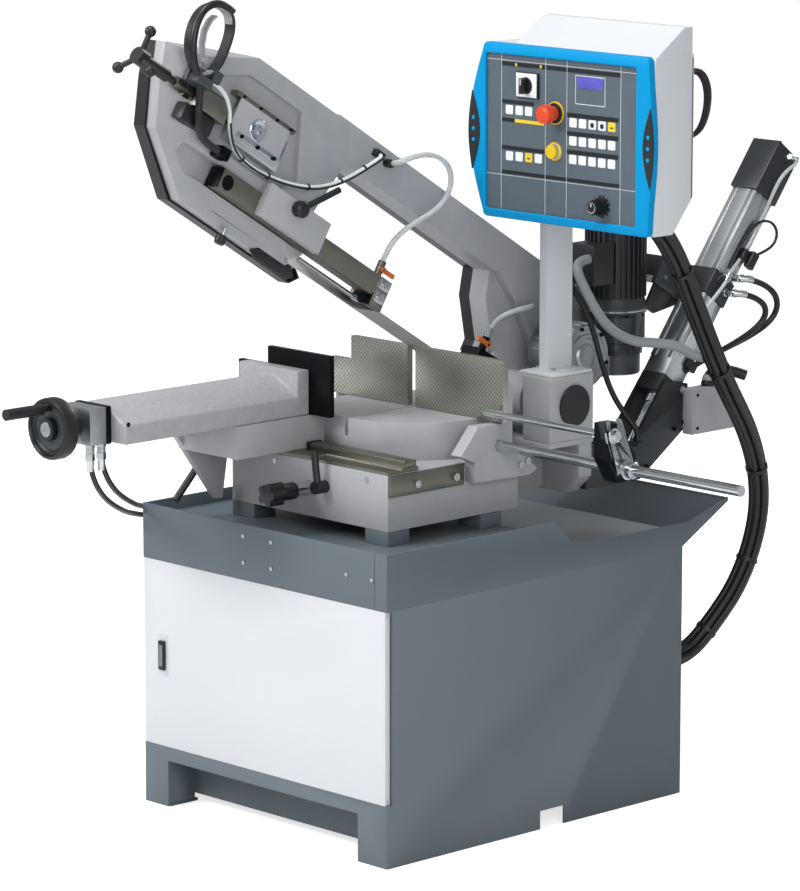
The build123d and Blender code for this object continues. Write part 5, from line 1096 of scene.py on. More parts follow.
keys("left_strips", [(250, 1573.5)], 96.0, 8.6, 1.0, 0.45, MEMBRANE_DARK)
keys("wide_strips", [(266, 1534), (266, 1474)], 130.0, 8.6, 1.0, 0.5, MEMBRANE_DARK)
keys("yellow_strip", [(285, 1534)], 88.0, 7.6, 1.0, 0.62, KEY_YELLOW)
keys("stripe_marks", [(244, 1654.6), (318, 1655.6)], 5.0, 6.6, 0.6, 0.75, KEY_YELLOW)
print("panel keys:", len(white_keys) + len(yellow_keys), "strips:", len(strips) + 4)

# %% Display
# A thin printed border holds the window of the display; only the upper part is glass.
BORDER = PRINT + 0.05
border = [layer(421, 1644.6, 508, 1646, BORDER), layer(421, 1584.5, 508, 1585.9, BORDER),
          layer(421, 1585, 422, 1645.5, BORDER), layer(507, 1585, 508, 1645.5, BORDER)]
gather("display_border", border, "turret", KEY_PRINT)
gather("display_glass", [block((425.5, FACE - 1.9, 1619), (502.5, FACE - 0.2, 1643.5), 0.5)], "turret",
       SCREEN)
print("display border lines:", len(border))

# %% Switches
# Each switch sits on its own collar. The selector has a white plate, the stop a yellow ring and a
# red neck under its mushroom, the start a bezel, the speed knob a scale plate with plain ticks.
SELECT = (281, 1613)
ESTOP = (362, 1560)
START = (361, 1478)
SPEED = (501, 1373)


def panel_ring(centre, profile, body, material, name, sides=40):
    """Turned ring standing out from the panel face at (x, z)."""
    x, z = centre
    gather(name, [turned((x, FACE, z), (x, 0, z), profile, sides)], body, material)


gather("selector_box", [block((249, FACE - 7.5, 1586), (314, FACE, 1641), 1.5)], "turret", BLACK_PLASTIC)
gather("selector_plate", [block((251, FACE - 8.6, 1588), (312, FACE - 6, 1639), 0.5)], "turret", KEY_PRINT)
panel_ring(SELECT, [(7, 18.4), (9.6, 18.4), (10.4, 17.8), (10.4, 17.3), (7, 17.3)], "turret", BLACK_PLASTIC,
           "selector_collar")
x, z = SELECT
selector_line = block((x - 1.1, FACE - 26.6, z + 2), (x + 1.1, FACE - 25.4, z + 16), 0.3)
gather("selector_line", [selector_line], "selector", KEY_PRINT)
panel_ring(ESTOP, [(0, 25), (1.6, 25), (2.2, 24.4), (2.2, 21.5), (0.5, 21.5)], "turret", YELLOW_PLASTIC,
           "estop_ring")
panel_ring(ESTOP, [(0.5, 22), (4.5, 22), (5.5, 21), (5.5, 16.2), (0.5, 16.2)], "turret", BLACK_PLASTIC,
           "estop_collar")
panel_ring(ESTOP, [(7, 12.2), (8, 15.5), (20, 15.5), (21.5, 13.2)], "estop", RED_PLASTIC, "estop_neck")
MUSHROOM = [(21.4, 14), (22.5, 20.4), (27, 21.2), (33, 20.6), (38, 18), (41, 12.5), (42, 5), (42.1, 0)]
panel_ring(ESTOP, MUSHROOM, "estop", RED_PLASTIC, "estop_mushroom", 48)
panel_ring(START, [(0, 20.5), (1.6, 20.5), (2.2, 20), (2.2, 17.6), (0.5, 17.6)], "turret", YELLOW_PLASTIC,
           "start_ring")
panel_ring(START, [(0.5, 17.2), (4.2, 17.2), (4.8, 16.8), (4.8, 16.0), (0.5, 16.0)], "turret", KEY_PRINT,
           "start_bezel")
panel_ring(START, [(5.2, 14.6), (6, 15.6), (13.2, 15.6), (14.8, 14.6), (15.6, 12), (15.9, 0)], "start",
           YELLOW_PLASTIC, "start_cap")
print("selector, stop and start pieces done")

# %% Speed knob and its scale
FLUTES = 18
FLUTE_RING = 14.3
SCALE_TICKS = 11
SCALE_START, SCALE_STEP = 240, 30
SCALE_RING = 22.0
panel_ring(SPEED, [(0, 24), (1.2, 24), (1.8, 23.4), (1.8, 20), (0.5, 20)], "turret", MEMBRANE_DARK,
           "speed_scale")
flutes = [(SPEED[0] + FLUTE_RING * math.cos(math.radians(360 / FLUTES * n)),
           SPEED[1] + FLUTE_RING * math.sin(math.radians(360 / FLUTES * n))) for n in range(FLUTES)]
gather("speed_flutes", [rod((x, FACE - 32.5, z), (x, FACE - 13, z), 1.5, 0.4, 8) for x, z in flutes],
       "speed", BLACK_PLASTIC)
panel_ring(SPEED, [(33.5, 12.6), (34.6, 12.2), (34.8, 10.2), (33.6, 9.6)], "speed", BRIGHT_STEEL,
           "speed_cap_ring")
x, z = SPEED
pointer = block((x - 0.9, FACE - 35, z + 2), (x + 0.9, FACE - 33.6, z + 9.6), 0.3)
gather("speed_pointer", [pointer], "speed", KEY_PRINT)
ticks = []
for n in range(SCALE_TICKS):
    turn = math.radians(SCALE_START - SCALE_STEP * n)
    x, z = SPEED[0] + SCALE_RING * math.cos(turn), SPEED[1] + SCALE_RING * math.sin(turn)
    tick = block((-1.6, -0.2, -0.35), (1.6, 0.2, 0.35), 0.0)
    tick.transform(Matrix.Translation((x, FACE - 1.9, z)) @ Matrix.Rotation(-turn, 4, "Y"))
    ticks.append(tick)
gather("speed_ticks", ticks, "turret", KEY_PRINT)
print("speed scale ticks:", len(ticks))

# %% Panel frame
# The blue frame is one moulding whose sides swell out into hand grips. I draw it as rings of points
# round the window, all with the same count: back rim, front rim, rounded shoulder and window's edge.
SIDE_STEPS = 24
CORNER_STEPS = 6


def frame_loop(low, high, corner, left_swell, right_swell, depth):
    """Points round a rounded rectangle in (x, z) whose two upright sides swell, at one depth."""
    points = []
    for n in range(SIDE_STEPS):
        t = n / SIDE_STEPS
        points.append((low[0] - left_swell * math.sin(math.pi * t),
                       low[1] + corner + (high[1] - low[1] - 2 * corner) * t))
    points += disc_outline((low[0] + corner, high[1] - corner), corner, 180, -90, CORNER_STEPS)
    points += disc_outline((high[0] - corner, high[1] - corner), corner, 90, -90, CORNER_STEPS)
    for n in range(1, SIDE_STEPS):
        t = n / SIDE_STEPS
        points.append((high[0] + right_swell * math.sin(math.pi * t) ** 1.6,
                       high[1] - corner - (high[1] - low[1] - 2 * corner) * t))
    points += disc_outline((high[0] - corner, low[1] + corner), corner, 0, -90, CORNER_STEPS)
    points += disc_outline((low[0] + corner, low[1] + corner), corner, 270, -90, CORNER_STEPS)[:-1]
    return [(x, depth, z) for x, z in points]


RIM = ((148, 1320), (641, 1699))
RIM_CORNER = 12
LEFT_SWELL, RIGHT_SWELL = 42, 13
WINDOW = ((156.6, 1338.6), (602.4, 1675.4))
WINDOW_CORNER = 5
FRAME_Y = 62.0
rings = [(RIM, 0, 78), (RIM, 0, FRAME_Y + 5), (RIM, 1.5, FRAME_Y + 1.3), (RIM, 4, FRAME_Y),
         (WINDOW, -2.5, FRAME_Y), (WINDOW, 0, FRAME_Y + 2), (WINDOW, 0, FRAME_Y + 9)]
moulding = bmesh.new()
loops = []
for (low, high), inset, depth in rings:
    shrunk = ((low[0] + inset, low[1] + inset), (high[0] - inset, high[1] - inset))
    if low == RIM[0]:
        places = frame_loop(*shrunk, RIM_CORNER, LEFT_SWELL, RIGHT_SWELL, depth)
    else:
        places = frame_loop(*shrunk, WINDOW_CORNER, 0, 0, depth)
    loops.append([moulding.verts.new(place) for place in places])
for loop, after in zip(loops, loops[1:] + loops[:1]):
    for n in range(len(loop)):
        m = (n + 1) % len(loop)
        moulding.faces.new((loop[n], loop[m], after[m], after[n]))
bmesh.ops.recalc_face_normals(moulding, faces=moulding.faces)
frame_skin = gather("panel_frame_skin", [moulding], "turret", BLUE_ABS)
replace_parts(frame_skin, "panel_frame")
print("panel frame points per ring:", len(loops[0]))

# %% Grips and frame details
# Two black lens-shaped grips are let into the frame's sides, each with three blue studs.
LENS_STEPS = 20


def lens(x, z0, z1, half, lean):
    """Pointed oval between two heights; lean pushes its middle to one side."""
    right, left = [], []
    for n in range(LENS_STEPS + 1):
        t = n / LENS_STEPS
        swell = math.sin(math.pi * t)
        right.append((x + lean * swell + half * swell, z0 + (z1 - z0) * t))
        left.append((x + lean * swell - half * swell, z0 + (z1 - z0) * t))
    return right + left[-2:0:-1]


GRIP_FRONT, GRIP_BACK = FRAME_Y - 1.6, FRAME_Y + 2
left_grip = plate(lens(118, 1420, 1591, 17.0, 6), GRIP_FRONT, GRIP_BACK, "Y", 0.0)
right_grip = plate(lens(646, 1422, 1593, 14.5, -6), GRIP_FRONT, GRIP_BACK, "Y", 0.0)
gather("frame_grips", [left_grip, right_grip], "turret", BLACK_RUBBER)
STUD = [(0, 4.6), (1.4, 4.2), (2.2, 2.6), (2.4, 0)]
studs = [(x, z) for x in (123, 640.5) for z in (1532, 1508, 1484)]
gather("grip_studs", [turned((x, FRAME_Y - 1.4, z), (x, 0, z), STUD, 20) for x, z in studs], "turret",
       BLUE_ABS)
print("grips and studs done")

# %% [markdown]
# ## Drive and lift
# Behind the post stand the finned motor on its bell, the ribbed gearbox and the square lift cylinder.
# Fins and ribs repeat round an axis, so one tree makes them from a count, a radius and a rib's size.


# %% Ribs round an axis
def ring_tree(name):
    tree = bpy.data.node_groups.new(name, "GeometryNodeTree")
    tree.interface.new_socket("Base", in_out="INPUT", socket_type="NodeSocketGeometry")
    count = tree.interface.new_socket("Count", in_out="INPUT", socket_type="NodeSocketInt")
    count.default_value = 24
    for label, default in (("Radius", 0.05), ("Depth", 0.006), ("Thickness", 0.002), ("Length", 0.1)):
        socket = tree.interface.new_socket(label, in_out="INPUT", socket_type="NodeSocketFloat")
        socket.default_value = default
    tree.interface.new_socket("Finish", in_out="INPUT", socket_type="NodeSocketMaterial")
    tree.interface.new_socket("Ribs", in_out="OUTPUT", socket_type="NodeSocketGeometry")
    given = add(tree, "NodeGroupInput").outputs
    size = add(tree, "ShaderNodeCombineXYZ",
               links={"X": given["Depth"], "Y": given["Thickness"], "Z": given["Length"]})
    rib = add(tree, "GeometryNodeMeshCube", links={"Size": size.outputs[0]})
    out = add(tree, "ShaderNodeCombineXYZ", links={"X": given["Radius"]})
    placed = add(tree, "GeometryNodeTransform",
                 links={"Geometry": rib.outputs[0], "Translation": out.outputs[0]})
    axis = add(tree, "GeometryNodeMeshLine", {"Offset": (0.0, 0.0, 0.0)}, {"Count": given["Count"]})
    index = add(tree, "GeometryNodeInputIndex")
    step = add(tree, "ShaderNodeMath", {0: 2 * math.pi}, {1: given["Count"]}, operation="DIVIDE")
    turn = add(tree, "ShaderNodeMath", links={0: index.outputs[0], 1: step.outputs[0]},
               operation="MULTIPLY")
    angle = add(tree, "ShaderNodeCombineXYZ", links={"Z": turn.outputs[0]})
    copies = add(tree, "GeometryNodeInstanceOnPoints",
                 links={"Points": axis.outputs[0], "Instance": placed.outputs[0],
                        "Rotation": angle.outputs[0]})
    real = add(tree, "GeometryNodeRealizeInstances", links={0: copies.outputs[0]})
    joined = add(tree, "GeometryNodeJoinGeometry", links={0: real.outputs[0]})
    tree.links.new(given["Base"], joined.inputs[0])
    dressed = add(tree, "GeometryNodeSetMaterial",
                  links={"Geometry": joined.outputs[0], "Material": given["Finish"]})
    add(tree, "NodeGroupOutput", links={0: dressed.outputs[0]})
    return tree


RIB_RING = ring_tree("rib_ring")


def ribs(name, matrix, body, material, count, radius, depth, thickness, length):
    """Ribs standing out round the Z axis of a frame; sizes in millimetres."""
    values = {"Count": count, "Radius": radius * MM, "Depth": depth * MM, "Thickness": thickness * MM,
              "Length": length * MM, "Finish": material}
    return grown(name, bpy.data.meshes.new("bare"), RIB_RING, values, body, matrix)


# %% Motor
MOTOR = Vector((122, 512, 0))
FIN_LOW, FIN_HIGH = 1094, 1284
ribs("motor_fins", Matrix.Translation((MOTOR + Vector((0, 0, (FIN_LOW + FIN_HIGH) / 2))) * MM), "bow",
     BLACK_ENAMEL, 32, 66.5, 7.0, 2.6, FIN_HIGH - FIN_LOW)
cowl = [turned(MOTOR + Vector((0, 0, 1284)), MOTOR + Vector((0, 0, 1334)),
               [(0, 66), (2, 69), (38, 69), (46, 66), (48, 60), (48, 0)], 48)]
gather("motor_cowl", cowl, "bow", BLACK_PLASTIC)
bell = [turned(MOTOR + Vector((0, 0, 966)), MOTOR + Vector((0, 0, 1096)),
               [(0, 50), (8, 56), (60, 58), (84, 62), (92, 70), (94, 71.5), (106, 71.5), (108, 70),
                (126, 66), (128, 64)], 56)]
gather("motor_bell", bell, "bow", DARK_PAINT)
flange_rim = [turned(MOTOR + Vector((0, 0, 1062)), MOTOR + Vector((0, 0, 1070)),
                     [(0, 70.6), (1, 72.4), (4.5, 72.4), (5.5, 70.6)], 56)]
gather("motor_flange_rim", flange_rim, "bow", BRIGHT_STEEL)
FLANGE_BOLTS = 65
flange = [(MOTOR.x + FLANGE_BOLTS * math.cos(math.radians(a)),
           MOTOR.y + FLANGE_BOLTS * math.sin(math.radians(a)), 1058) for a in range(22, 382, 45)]
screws("motor_flange_screws", flange, (0, 0, -1), "bow", 5.0, 6.0)
ribs("bell_ribs", Matrix.Translation((MOTOR + Vector((0, 0, 1018))) * MM), "bow", DARK_PAINT,
     8, 60.0, 14.0, 5.0, 82.0)
gather("worm_housing_skin",
       [turned(MOTOR + Vector((0, 0, 919)), MOTOR + Vector((0, 0, 968)),
               [(0, 53), (2.5, 56.8), (47, 56.8), (48, 55)], 48)],
       "bow", DARK_PAINT)
print("motor pieces done")

# %% Gearbox
GEAR_P, GEAR_Q = 95, 146.5
COVER_BOLTS = 66
COVER = [(0, 70), (2, 71.5), (4, 70), (4, 62), (1.5, 60), (1.5, 52), (5, 50), (5, 43), (2, 41), (2, 31),
         (6, 28), (8, 24), (8, 9), (6.5, 8), (6.5, 0)]
gear_middle = BOW @ Matrix.Translation(Vector((105, GEAR_P, GEAR_Q)) * MM)
GEARBOX = gear_middle @ Matrix.Rotation(math.pi / 2, 4, "Y")
on_bow("gearbox_cover", [turned((159.5, GEAR_P, GEAR_Q), (170, GEAR_P, GEAR_Q), COVER, 56)], "bow", ALUMINIUM)
ribs("gearbox_ribs", GEARBOX, "bow", ALUMINIUM, 20, 73.0, 7.0, 4.0, 96.0)
cover_screws = [(163.5, GEAR_P + COVER_BOLTS * math.cos(math.radians(a)),
                 GEAR_Q + COVER_BOLTS * math.sin(math.radians(a))) for a in range(15, 375, 60)]
screws("gearbox_screws", cover_screws, (1, 0, 0), "bow", 4.5, 4.0, matrix=BOW)
print("gearbox pieces done")

# %% Lift cylinder
# I draw it along its own axis: U across, V square to it in the swing's plane, D from the lower eye.
EYE = Vector((222, 424.3, 730))
SLANT = Vector((0, 0.60763, 0.79422))
LIFT = Matrix.Translation(EYE * MM) @ Matrix(((1, 0, 0, 0), (0, SLANT.z, SLANT.y, 0),
                                              (0, -SLANT.y, SLANT.z, 0), (0, 0, 0, 1)))


def on_lift(name, parts, material):
    return gather(name, parts, "lift_tube", material, LIFT)


on_lift("cylinder_caps",
        [block((-40.8, -40.8, 713), (40.8, 40.8, 842), 3.0),
         block((-38.8, -38.8, 439), (38.8, 38.8, 501), 3.0),
         block((-33.7, -33.7, 183), (33.7, 33.7, 226), 2.0)], BLACK_ENAMEL)
lips = []
for low, high in ((266, 438.5), (501.5, 712.5)):
    for edge in (-33.2, 19.0):
        lips += [block((32.5, edge, low), (35, edge + 14.2, high), 0.7),
                 block((-35, edge, low), (-32.5, edge + 14.2, high), 0.7),
                 block((edge, 32.5, low), (edge + 14.2, 35, high), 0.7),
                 block((edge, -35, low), (edge + 14.2, -32.5, high), 0.7)]
on_lift("cylinder_profile_lips", lips, ANODISED)
cap_screws = [(u, v, 842) for u in (-31, 31) for v in (-31, 31)]
screws("cylinder_cap_screws", cap_screws, (0, 0, 1), "lift_tube", 6.0, 3.0, BRIGHT_STEEL, matrix=LIFT)
on_lift("rod_gland", [turned((0, 0, 160), (0, 0, 184), [(0, 17), (1, 18.5), (23, 18.5), (24, 17)], 36)],
        BRIGHT_STEEL)
print("lift cylinder pieces done")

# %% Fittings and hoses of the lift cylinder
# Chrome push-in elbows feed thin clear tubes on the near face; two hydraulic hoses loop out of the
# middle block and come back to the foot, so they swing with the tube.
elbows = [rod((38, 2, 826), (48, 2, 826), 7.0, 1.0), rod((48, 2, 826), (48, 22, 834), 6.0, 1.0),
          turned((48, 17, 832), (48, 31, 838), [(0, 7), (6, 7.6), (10, 7), (12, 5)], 20)]
elbows += [rod((38, -6, 500), (52, -6, 500), 8.0, 1.0), rod((52, -6, 508), (52, -6, 486), 6.5, 1.0)]
elbows += [turned((36, v, d), (62, v + 4, d + 2),
                  [(0, 9), (6, 9), (7, 7), (14, 7), (15, 8.4), (24, 8.4), (26, 6.5)], 20)
           for v, d in ((16, 508), (18, 470))]
on_lift("cylinder_fittings", elbows, CHROME)


def lift_line(route):
    """Smooth line past places in the cylinder's own frame."""
    return smooth_line([(LIFT @ (Vector(place) * MM)) / MM for place in route])


TUBE_R, CYLINDER_HOSE_R, SENSOR_CABLE_R = 4.2, 7.0, 3.2
TOP_TUBE = [(48, 28, 837), (56, 24, 820), (56, 8, 796), (52, 2, 764), (47, 8, 728), (42, 16, 690),
            (40, 20, 640), (40, 18, 580), (42, 8, 536), (46, -2, 508)]
LOW_TUBE = [(52, -6, 488), (51, -10, 460), (46, -16, 424), (41, -19, 376), (38, -18, 320), (34, -17, 282)]
HOSE_A = [(60, 18, 510), (76, 34, 520), (92, 72, 530), (97, 112, 528), (92, 142, 508), (80, 148, 472),
          (66, 124, 420), (52, 84, 362), (42, 50, 312), (34, 32, 278)]
HOSE_B = [(60, 20, 472), (76, 36, 482), (88, 68, 492), (92, 102, 492), (86, 124, 474), (74, 122, 438),
          (62, 98, 388), (50, 62, 332), (41, 34, 288), (34, 20, 262)]
SENSOR_CABLE = [(52, 44, 588), (56, 60, 608), (60, 72, 636), (58, 66, 664), (51, 42, 676), (43, 16, 662),
                (37, 3, 628), (36, 0, 580), (36, 0, 524)]
for name, route, tube_r, tube_finish in (("cylinder_top_tube", TOP_TUBE, TUBE_R, CLEAR_HOSE),
                                         ("cylinder_low_tube", LOW_TUBE, TUBE_R, CLEAR_HOSE),
                                         ("cylinder_hose_a", HOSE_A, CYLINDER_HOSE_R, HOSE_BLACK),
                                         ("cylinder_hose_b", HOSE_B, CYLINDER_HOSE_R, HOSE_BLACK),
                                         ("sensor_cable", SENSOR_CABLE, SENSOR_CABLE_R, HOSE_BLACK)):
    held_cord(name, lift_line(route), tube_r * MM, tube_finish, "lift_tube")
ends = []
for points in (HOSE_A, HOSE_B):
    start, after = Vector(points[0]), Vector(points[1])
    along = (after - start).normalized()
    ends.append(turned(start, start + along * 34,
                       [(0, 7.4), (3, 9.5), (10, 9.5), (11, 8.2), (30, 8.2), (34, 7.2)], 20))
on_lift("hose_ferrules", ends, BRIGHT_STEEL)
on_lift("lift_hose_clip", [block((34, 12, 268), (46, 40, 292), 2.0)], BLACK_PLASTIC)
on_lift("limit_sensor",
        [block((33.4, 8, 556), (50, 34, 584), 2.0), block((44, 26, 548), (60, 48, 588), 2.5)],
        BLACK_PLASTIC)
print("cylinder fittings done")

# %% Lift arm, bracket and valve box
arm_screws = [(180, p, q) for p, q in ((214, 405), (214, 440), (262, 440))]
screws("lift_arm_screws", arm_screws, (1, 0, 0), "bow", 6.5, 4.0, BRIGHT_STEEL, matrix=BOW)
on_bow("lift_arm_gusset", [plate([(196, 380), (300, 380), (230, 320), (196, 320)], 168.5, 176, "X", 1.5)],
       "bow", BLACK_ENAMEL)
screws("bracket_pivot_bolt", [(262, 581, 888)], (1, 0, 0), "turret", 9.0, 6.0, BRIGHT_STEEL, HEX_BOLT)
screws("bracket_screws", [(262, 470, 726), (262, 440, 708), (262, 560, 800), (262, 590, 812)], (1, 0, 0),
       "turret", 5.0, 3.5)
gather("eye_pin_head",
       [turned((262, 424.3, 730), (272, 424.3, 730), [(0, 15), (1, 16), (6, 16), (7, 14), (7, 0)], 32)],
       "turret", BRIGHT_STEEL)
gather("valve_cover", [block((290.5, 594, 792), (295, 727, 884), 1.5)], "turret", GREY_PAINT)
screws("valve_cover_screws", [(295, y, z) for y in (601, 720) for z in (800, 876)], (1, 0, 0), "turret",
       3.6, 2.0)
ELBOW = [(277, 654, 889), (277, 654, 906), (279, 662, 917), (284, 684, 921), (296, 712, 920),
         (318, 736, 908)]
gather("valve_elbow",
       [wire(ELBOW, 12.5, 16),
        turned((277, 654, 889), (277, 654, 903), [(0, 16), (8, 16), (10, 14), (14, 14)], 20)],
       "turret", HOSE_BLACK)
print("bracket and valve box done")

# %% [markdown]
# ## Vise, base and stop
# The small fittings are what tell the eye how big the machine is: bolts in the lip, a steel band with
# hexagon bolts on the base, chrome unions under the vise's block and the bent bracket of the bar stop.

# %% Cabinet front
FRONT = -454.0
LIP_BOLTS = ((-57, 652), (32, 652), (-57, 594), (32, 594), (268, 619), (346, 619))
lip_bolts = [(x, FRONT, z) for x, z in LIP_BOLTS]
screws("lip_bolts", lip_bolts, (0, -1, 0), "machine_base", 4.2, 2.6, BRIGHT_STEEL)
gather("lip_seam", [block((352.4, FRONT - 0.25, 559), (353.6, FRONT + 1, 677), 0.0)], "machine_base",
       BLACK_ENAMEL)
LATCH_X, LATCH_Z = -324, 344
inlay = block((LATCH_X - 5.5, FRONT - 10.2, LATCH_Z - 24), (LATCH_X + 5.5, FRONT - 7, LATCH_Z + 24), 1.0)
gather("latch_inlay", [inlay], "latch", TANK_PAINT)
print("front bolts:", len(lip_bolts))

# %% Base casting
BASE_SIDE = 236.0
gather("base_side_band", [block((BASE_SIDE - 1, -303.5, 758), (BASE_SIDE + 8, -84, 804), 1.2)],
       "machine_base", KHAKI_STEEL)
screws("base_band_bolts", [(BASE_SIDE + 8, -228, 779), (BASE_SIDE + 8, -112, 779)], (1, 0, 0),
       "machine_base", 9.0, 7.0, BRIGHT_STEEL, HEX_BOLT)
gather("vise_rail_bar", [block((-66, -251, 814), (232, -216, 829), 1.5)], "machine_base", KHAKI_STEEL)
gather("rail_bar_end", [block((-76, -252, 813.5), (-64, -215, 831), 2.0)], "machine_base", BLACK_PLASTIC)
screws("rail_front_screws", [(170, -304, 789), (-120, -304, 789)], (0, -1, 0), "machine_base", 6.0, 3.0,
       BRIGHT_STEEL)
screws("stop_bracket_screws", [(268, 62, 786), (268, 84, 792)], (1, 0, 0), "machine_base", 6.5, 5.0,
       BRIGHT_STEEL)
gather("clamp_neck",
       [turned((-10, -352, 745), (-10, -304, 745), [(0, 15), (1, 16), (47, 16), (48, 15)], 28)],
       "turret_lock", BRIGHT_STEEL)
print("base details done")

# %% Vise block and handwheel
VISE_X = -175.0
SCREW_Z = 927.0
gather("block_spacer", [block((-226.6, -779, 886.4), (-123.4, -765.6, 967.6), 1.5)], "vise_ram",
       BLACK_OXIDE)
unions = []
for step in (0, 1):
    x, y, z = hose_route(step)[0]
    unions.append(turned((x, y, 889), (x, y, 850),
                         [(0, 11), (9, 11), (10, 9.4), (22, 9.4), (23, 10.6), (36, 10.6), (38, 9)], 6))
    unions.append(turned((x, y, 866), (x, y, 828), [(0, 8.6), (24, 8.6), (26, 8), (38, 7.2)], 20))
gather("block_unions", unions, "vise_ram", CHROME)
WHEEL_FACE = -884.0
dish = turned((VISE_X, WHEEL_FACE - 4.2, SCREW_Z), (VISE_X, -1000, SCREW_Z),
              [(0, 51), (0.8, 50.6), (2.2, 36), (2.4, 27), (0.4, 26)], 48)
gather("handwheel_dish", [dish], "vise_wheel", DARK_PAINT)
wheel_rim = turned((VISE_X, WHEEL_FACE - 16, SCREW_Z), (VISE_X, -800, SCREW_Z),
                   [(12, 54), (4, 55.5), (0, 58), (0.6, 62), (4, 65), (10, 66), (28, 66), (34, 64),
                    (37, 60), (37, 54)], 64)
gather("handwheel_rim", [wheel_rim], "vise_wheel", BLACK_PLASTIC)
hub = turned((VISE_X, WHEEL_FACE - 17.8, SCREW_Z), (VISE_X, -1000, SCREW_Z),
             [(0, 16), (1.6, 16), (2.6, 14.6), (2.6, 5), (1.4, 4.6), (1.4, 0)], 36)
gather("handwheel_hub", [hub], "vise_wheel", ALUMINIUM)
crank = turned((VISE_X, -1007.6, SCREW_Z + 44), (VISE_X, -1100, SCREW_Z + 44),
               [(0, 8), (0.9, 8), (1.3, 7.4), (1.3, 0)], 24)
gather("crank_end", [crank], "vise_wheel", CHROME)
arm_pin = turned((VISE_X + 96, -757, 932), (VISE_X + 100, -757, 932),
                 [(0, 5), (0.8, 5), (1.2, 4.4), (1.2, 0)], 20)
gather("arm_pin", [arm_pin], "vise_ram", BLACK_OXIDE)
print("vise details done")

# %% Bar stop
# A bent black plate carries a bright slotted plate; a nut holds the stop rod in the slot, a clamp ring
# holds the bracket on the graduated rail.
STOP_NEAR, STOP_FAR = 605.0, 645.0
RAIL_Z, RAIL_R = 836, 12.0
ROD_Y, ROD_Z = -40, 913
SLOTTED = [(-30, 826), (22, 826), (22, 850), (-16, 946), (-30, 948), (-30.8, 908), (-49.2, 908), (-50, 948),
           (-64, 944), (-62, 908)]
BENT_NEAR = 626.0
bent = [plate([(-70, 944), (-64, 946), (-26, 830), (-32, 824)], BENT_NEAR, STOP_FAR, "X", 1.0),
        plate([(-32, 822), (22, 822), (22, 829), (-30, 829)], BENT_NEAR, STOP_FAR, "X", 1.0)]
stop_frame = gather("stop_carriage_bracket", bent, "bar_stop", BLACK_ENAMEL)
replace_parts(stop_frame, "stop_carriage")
gather("stop_slotted_plate", [plate(SLOTTED, STOP_FAR - 5, STOP_FAR, "X", 0.8)], "bar_stop", BRIGHT_STEEL)
gather("stop_rod_nut",
       [turned((STOP_FAR, ROD_Y, ROD_Z), (STOP_FAR + 14, ROD_Y, ROD_Z),
               [(0, 15), (2.4, 15), (2.5, 12.6), (11, 12.6), (12.4, 11)], 6),
        turned((STOP_FAR - 0.2, ROD_Y, ROD_Z), (STOP_FAR + 3, ROD_Y, ROD_Z),
               [(0, 16.5), (2, 16.5), (2.6, 15.8)], 32),
        rod((STOP_FAR - 19, ROD_Y, ROD_Z), (STOP_FAR - 5, ROD_Y, ROD_Z), 13.0, 1.0)],
       "bar_stop", CHROME)
gather("stop_clamp_ring",
       [turned((STOP_FAR, 0, RAIL_Z), (STOP_FAR + 30, 0, RAIL_Z),
               [(0, 12.4), (0, 21), (6, 22), (7, 18), (22, 18), (24, 16.5), (24, 12.4)], 36)],
       "bar_stop", BRIGHT_STEEL)
gather("stop_back_ring",
       [turned((STOP_NEAR, 0, RAIL_Z), (STOP_NEAR + 36, 0, RAIL_Z),
               [(0, 12.4), (0, 17), (2, 18), (36, 18), (36, 12.4)], 36)],
       "bar_stop", BLACK_OXIDE)
TICK_FROM, TICK_STEP, TICKS = 285, 5, 136
tick_aim = Vector((0, -0.6, 0.8))
tick_places = [Vector((TICK_FROM + TICK_STEP * n, 0, RAIL_Z)) + tick_aim * RAIL_R for n in range(TICKS)]
tick_values = {"Width": 0.8 * MM, "Height": 7 * MM, "Corner": 0.2 * MM, "Lift": 0.15 * MM,
               "Finish": BLACK_OXIDE}
grown("rail_ticks", points_mesh(tick_places, [tick_aim] * TICKS), KEY_TREE, tick_values, "machine_base")
print("bar stop done, ticks:", TICKS)

# %% [markdown]
# ## Band teeth, rear hose and panel cable
# The band's teeth stand along its lower edge where it runs upright between the guides. They repeat at
# one pitch, so a tree sets a three-sided prism on each step of a line.


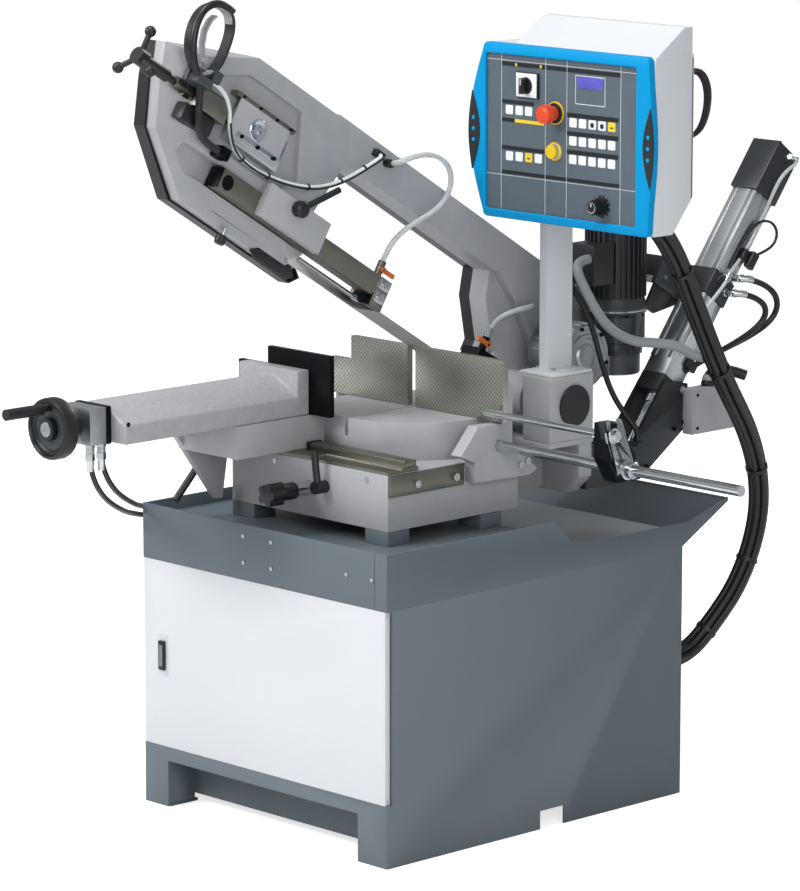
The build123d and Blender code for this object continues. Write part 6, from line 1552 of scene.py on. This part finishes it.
# %% Band teeth
def tooth_tree(name):
    tree = bpy.data.node_groups.new(name, "GeometryNodeTree")
    tree.interface.new_socket("Base", in_out="INPUT", socket_type="NodeSocketGeometry")
    count = tree.interface.new_socket("Count", in_out="INPUT", socket_type="NodeSocketInt")
    count.default_value = 60
    for label, default in (("Pitch", 0.005), ("Radius", 0.003), ("Thickness", 0.0013)):
        socket = tree.interface.new_socket(label, in_out="INPUT", socket_type="NodeSocketFloat")
        socket.default_value = default
    tree.interface.new_socket("Finish", in_out="INPUT", socket_type="NodeSocketMaterial")
    tree.interface.new_socket("Teeth", in_out="OUTPUT", socket_type="NodeSocketGeometry")
    given = add(tree, "NodeGroupInput").outputs
    prism = add(tree, "GeometryNodeMeshCylinder", {"Vertices": 3},
                {"Radius": given["Radius"], "Depth": given["Thickness"]})
    upright = add(tree, "GeometryNodeTransform", {"Rotation": (0.0, math.pi / 2, 0.0)},
                  {"Geometry": prism.outputs[0]})
    step = add(tree, "ShaderNodeCombineXYZ", links={"Y": given["Pitch"]})
    line = add(tree, "GeometryNodeMeshLine", links={"Count": given["Count"], "Offset": step.outputs[0]})
    copies = add(tree, "GeometryNodeInstanceOnPoints",
                 links={"Points": line.outputs[0], "Instance": upright.outputs[0]})
    real = add(tree, "GeometryNodeRealizeInstances", links={0: copies.outputs[0]})
    joined = add(tree, "GeometryNodeJoinGeometry", links={0: real.outputs[0]})
    tree.links.new(given["Base"], joined.inputs[0])
    dressed = add(tree, "GeometryNodeSetMaterial",
                  links={"Geometry": joined.outputs[0], "Material": given["Finish"]})
    add(tree, "NodeGroupOutput", links={0: dressed.outputs[0]})
    return tree


TOOTH_PITCH = 6.0
FIRST_TOOTH, LAST_TOOTH = -560, -60
BAND_EDGE = -14.2
tooth_count = int((LAST_TOOTH - FIRST_TOOTH) / TOOTH_PITCH)
teeth = {"Count": tooth_count, "Pitch": TOOTH_PITCH * MM, "Radius": 3.4 * MM, "Thickness": 1.4 * MM,
         "Finish": BAND_STEEL}
grown("band_teeth", bpy.data.meshes.new("bare"), tooth_tree("band_teeth"), teeth, "bow",
      BOW @ Matrix.Translation(Vector((0, FIRST_TOOTH, BAND_EDGE)) * MM))
print("band teeth:", tooth_count)

# %% Rear coolant hose and panel cable
REAR_HOSE_R = 6.0
REAR_HOSE = [(30, -84, 98), (30, -84, 120), (38, -82, 144), (58, -72, 166), (70, -52, 186), (68, -26, 204),
             (46, -6, 212)]
REAR_UNION = [(0, 8), (8, 8), (9, 6.6), (18, 6.6), (19, 7.4), (26, 7.2)]
PANEL_CABLE_R = 4.5
PANEL_CABLE = [(634, 192, 1664), (634, 218, 1664), (635, 242, 1650), (637, 254, 1618), (637, 252, 1580),
               (635, 240, 1545), (634, 218, 1526), (634, 192, 1520)]
held_cord("rear_guide_hose", smooth_line(bow_route(REAR_HOSE)), REAR_HOSE_R * MM, CLEAR_HOSE,
          "bow")
on_bow("rear_valve_union", [turned((30, -84, 92), (30, -84, 118), REAR_UNION, 20)], "bow", CHROME)
for step, shift in enumerate((0.0, -11.0)):
    route = [(x + shift, y, z + shift * 0.4) for x, y, z in PANEL_CABLE]
    held_cord(f"panel_cable_{step}", smooth_line(route), PANEL_CABLE_R * MM, HOSE_BLACK,
              "turret")
gather("panel_back_seam", [block((645.0, 190.5, 1394), (645.5, 192.5, 1690), 0.0)], "turret", BLACK_OXIDE)
post_screws = [(x, y, 972) for x in (181, 231) for y in (203, 267)]
screws("post_flange_screws", post_screws, (0, 0, 1), "turret", 5.5, 5.0, BRIGHT_STEEL)
print("hoses and panel cable done")
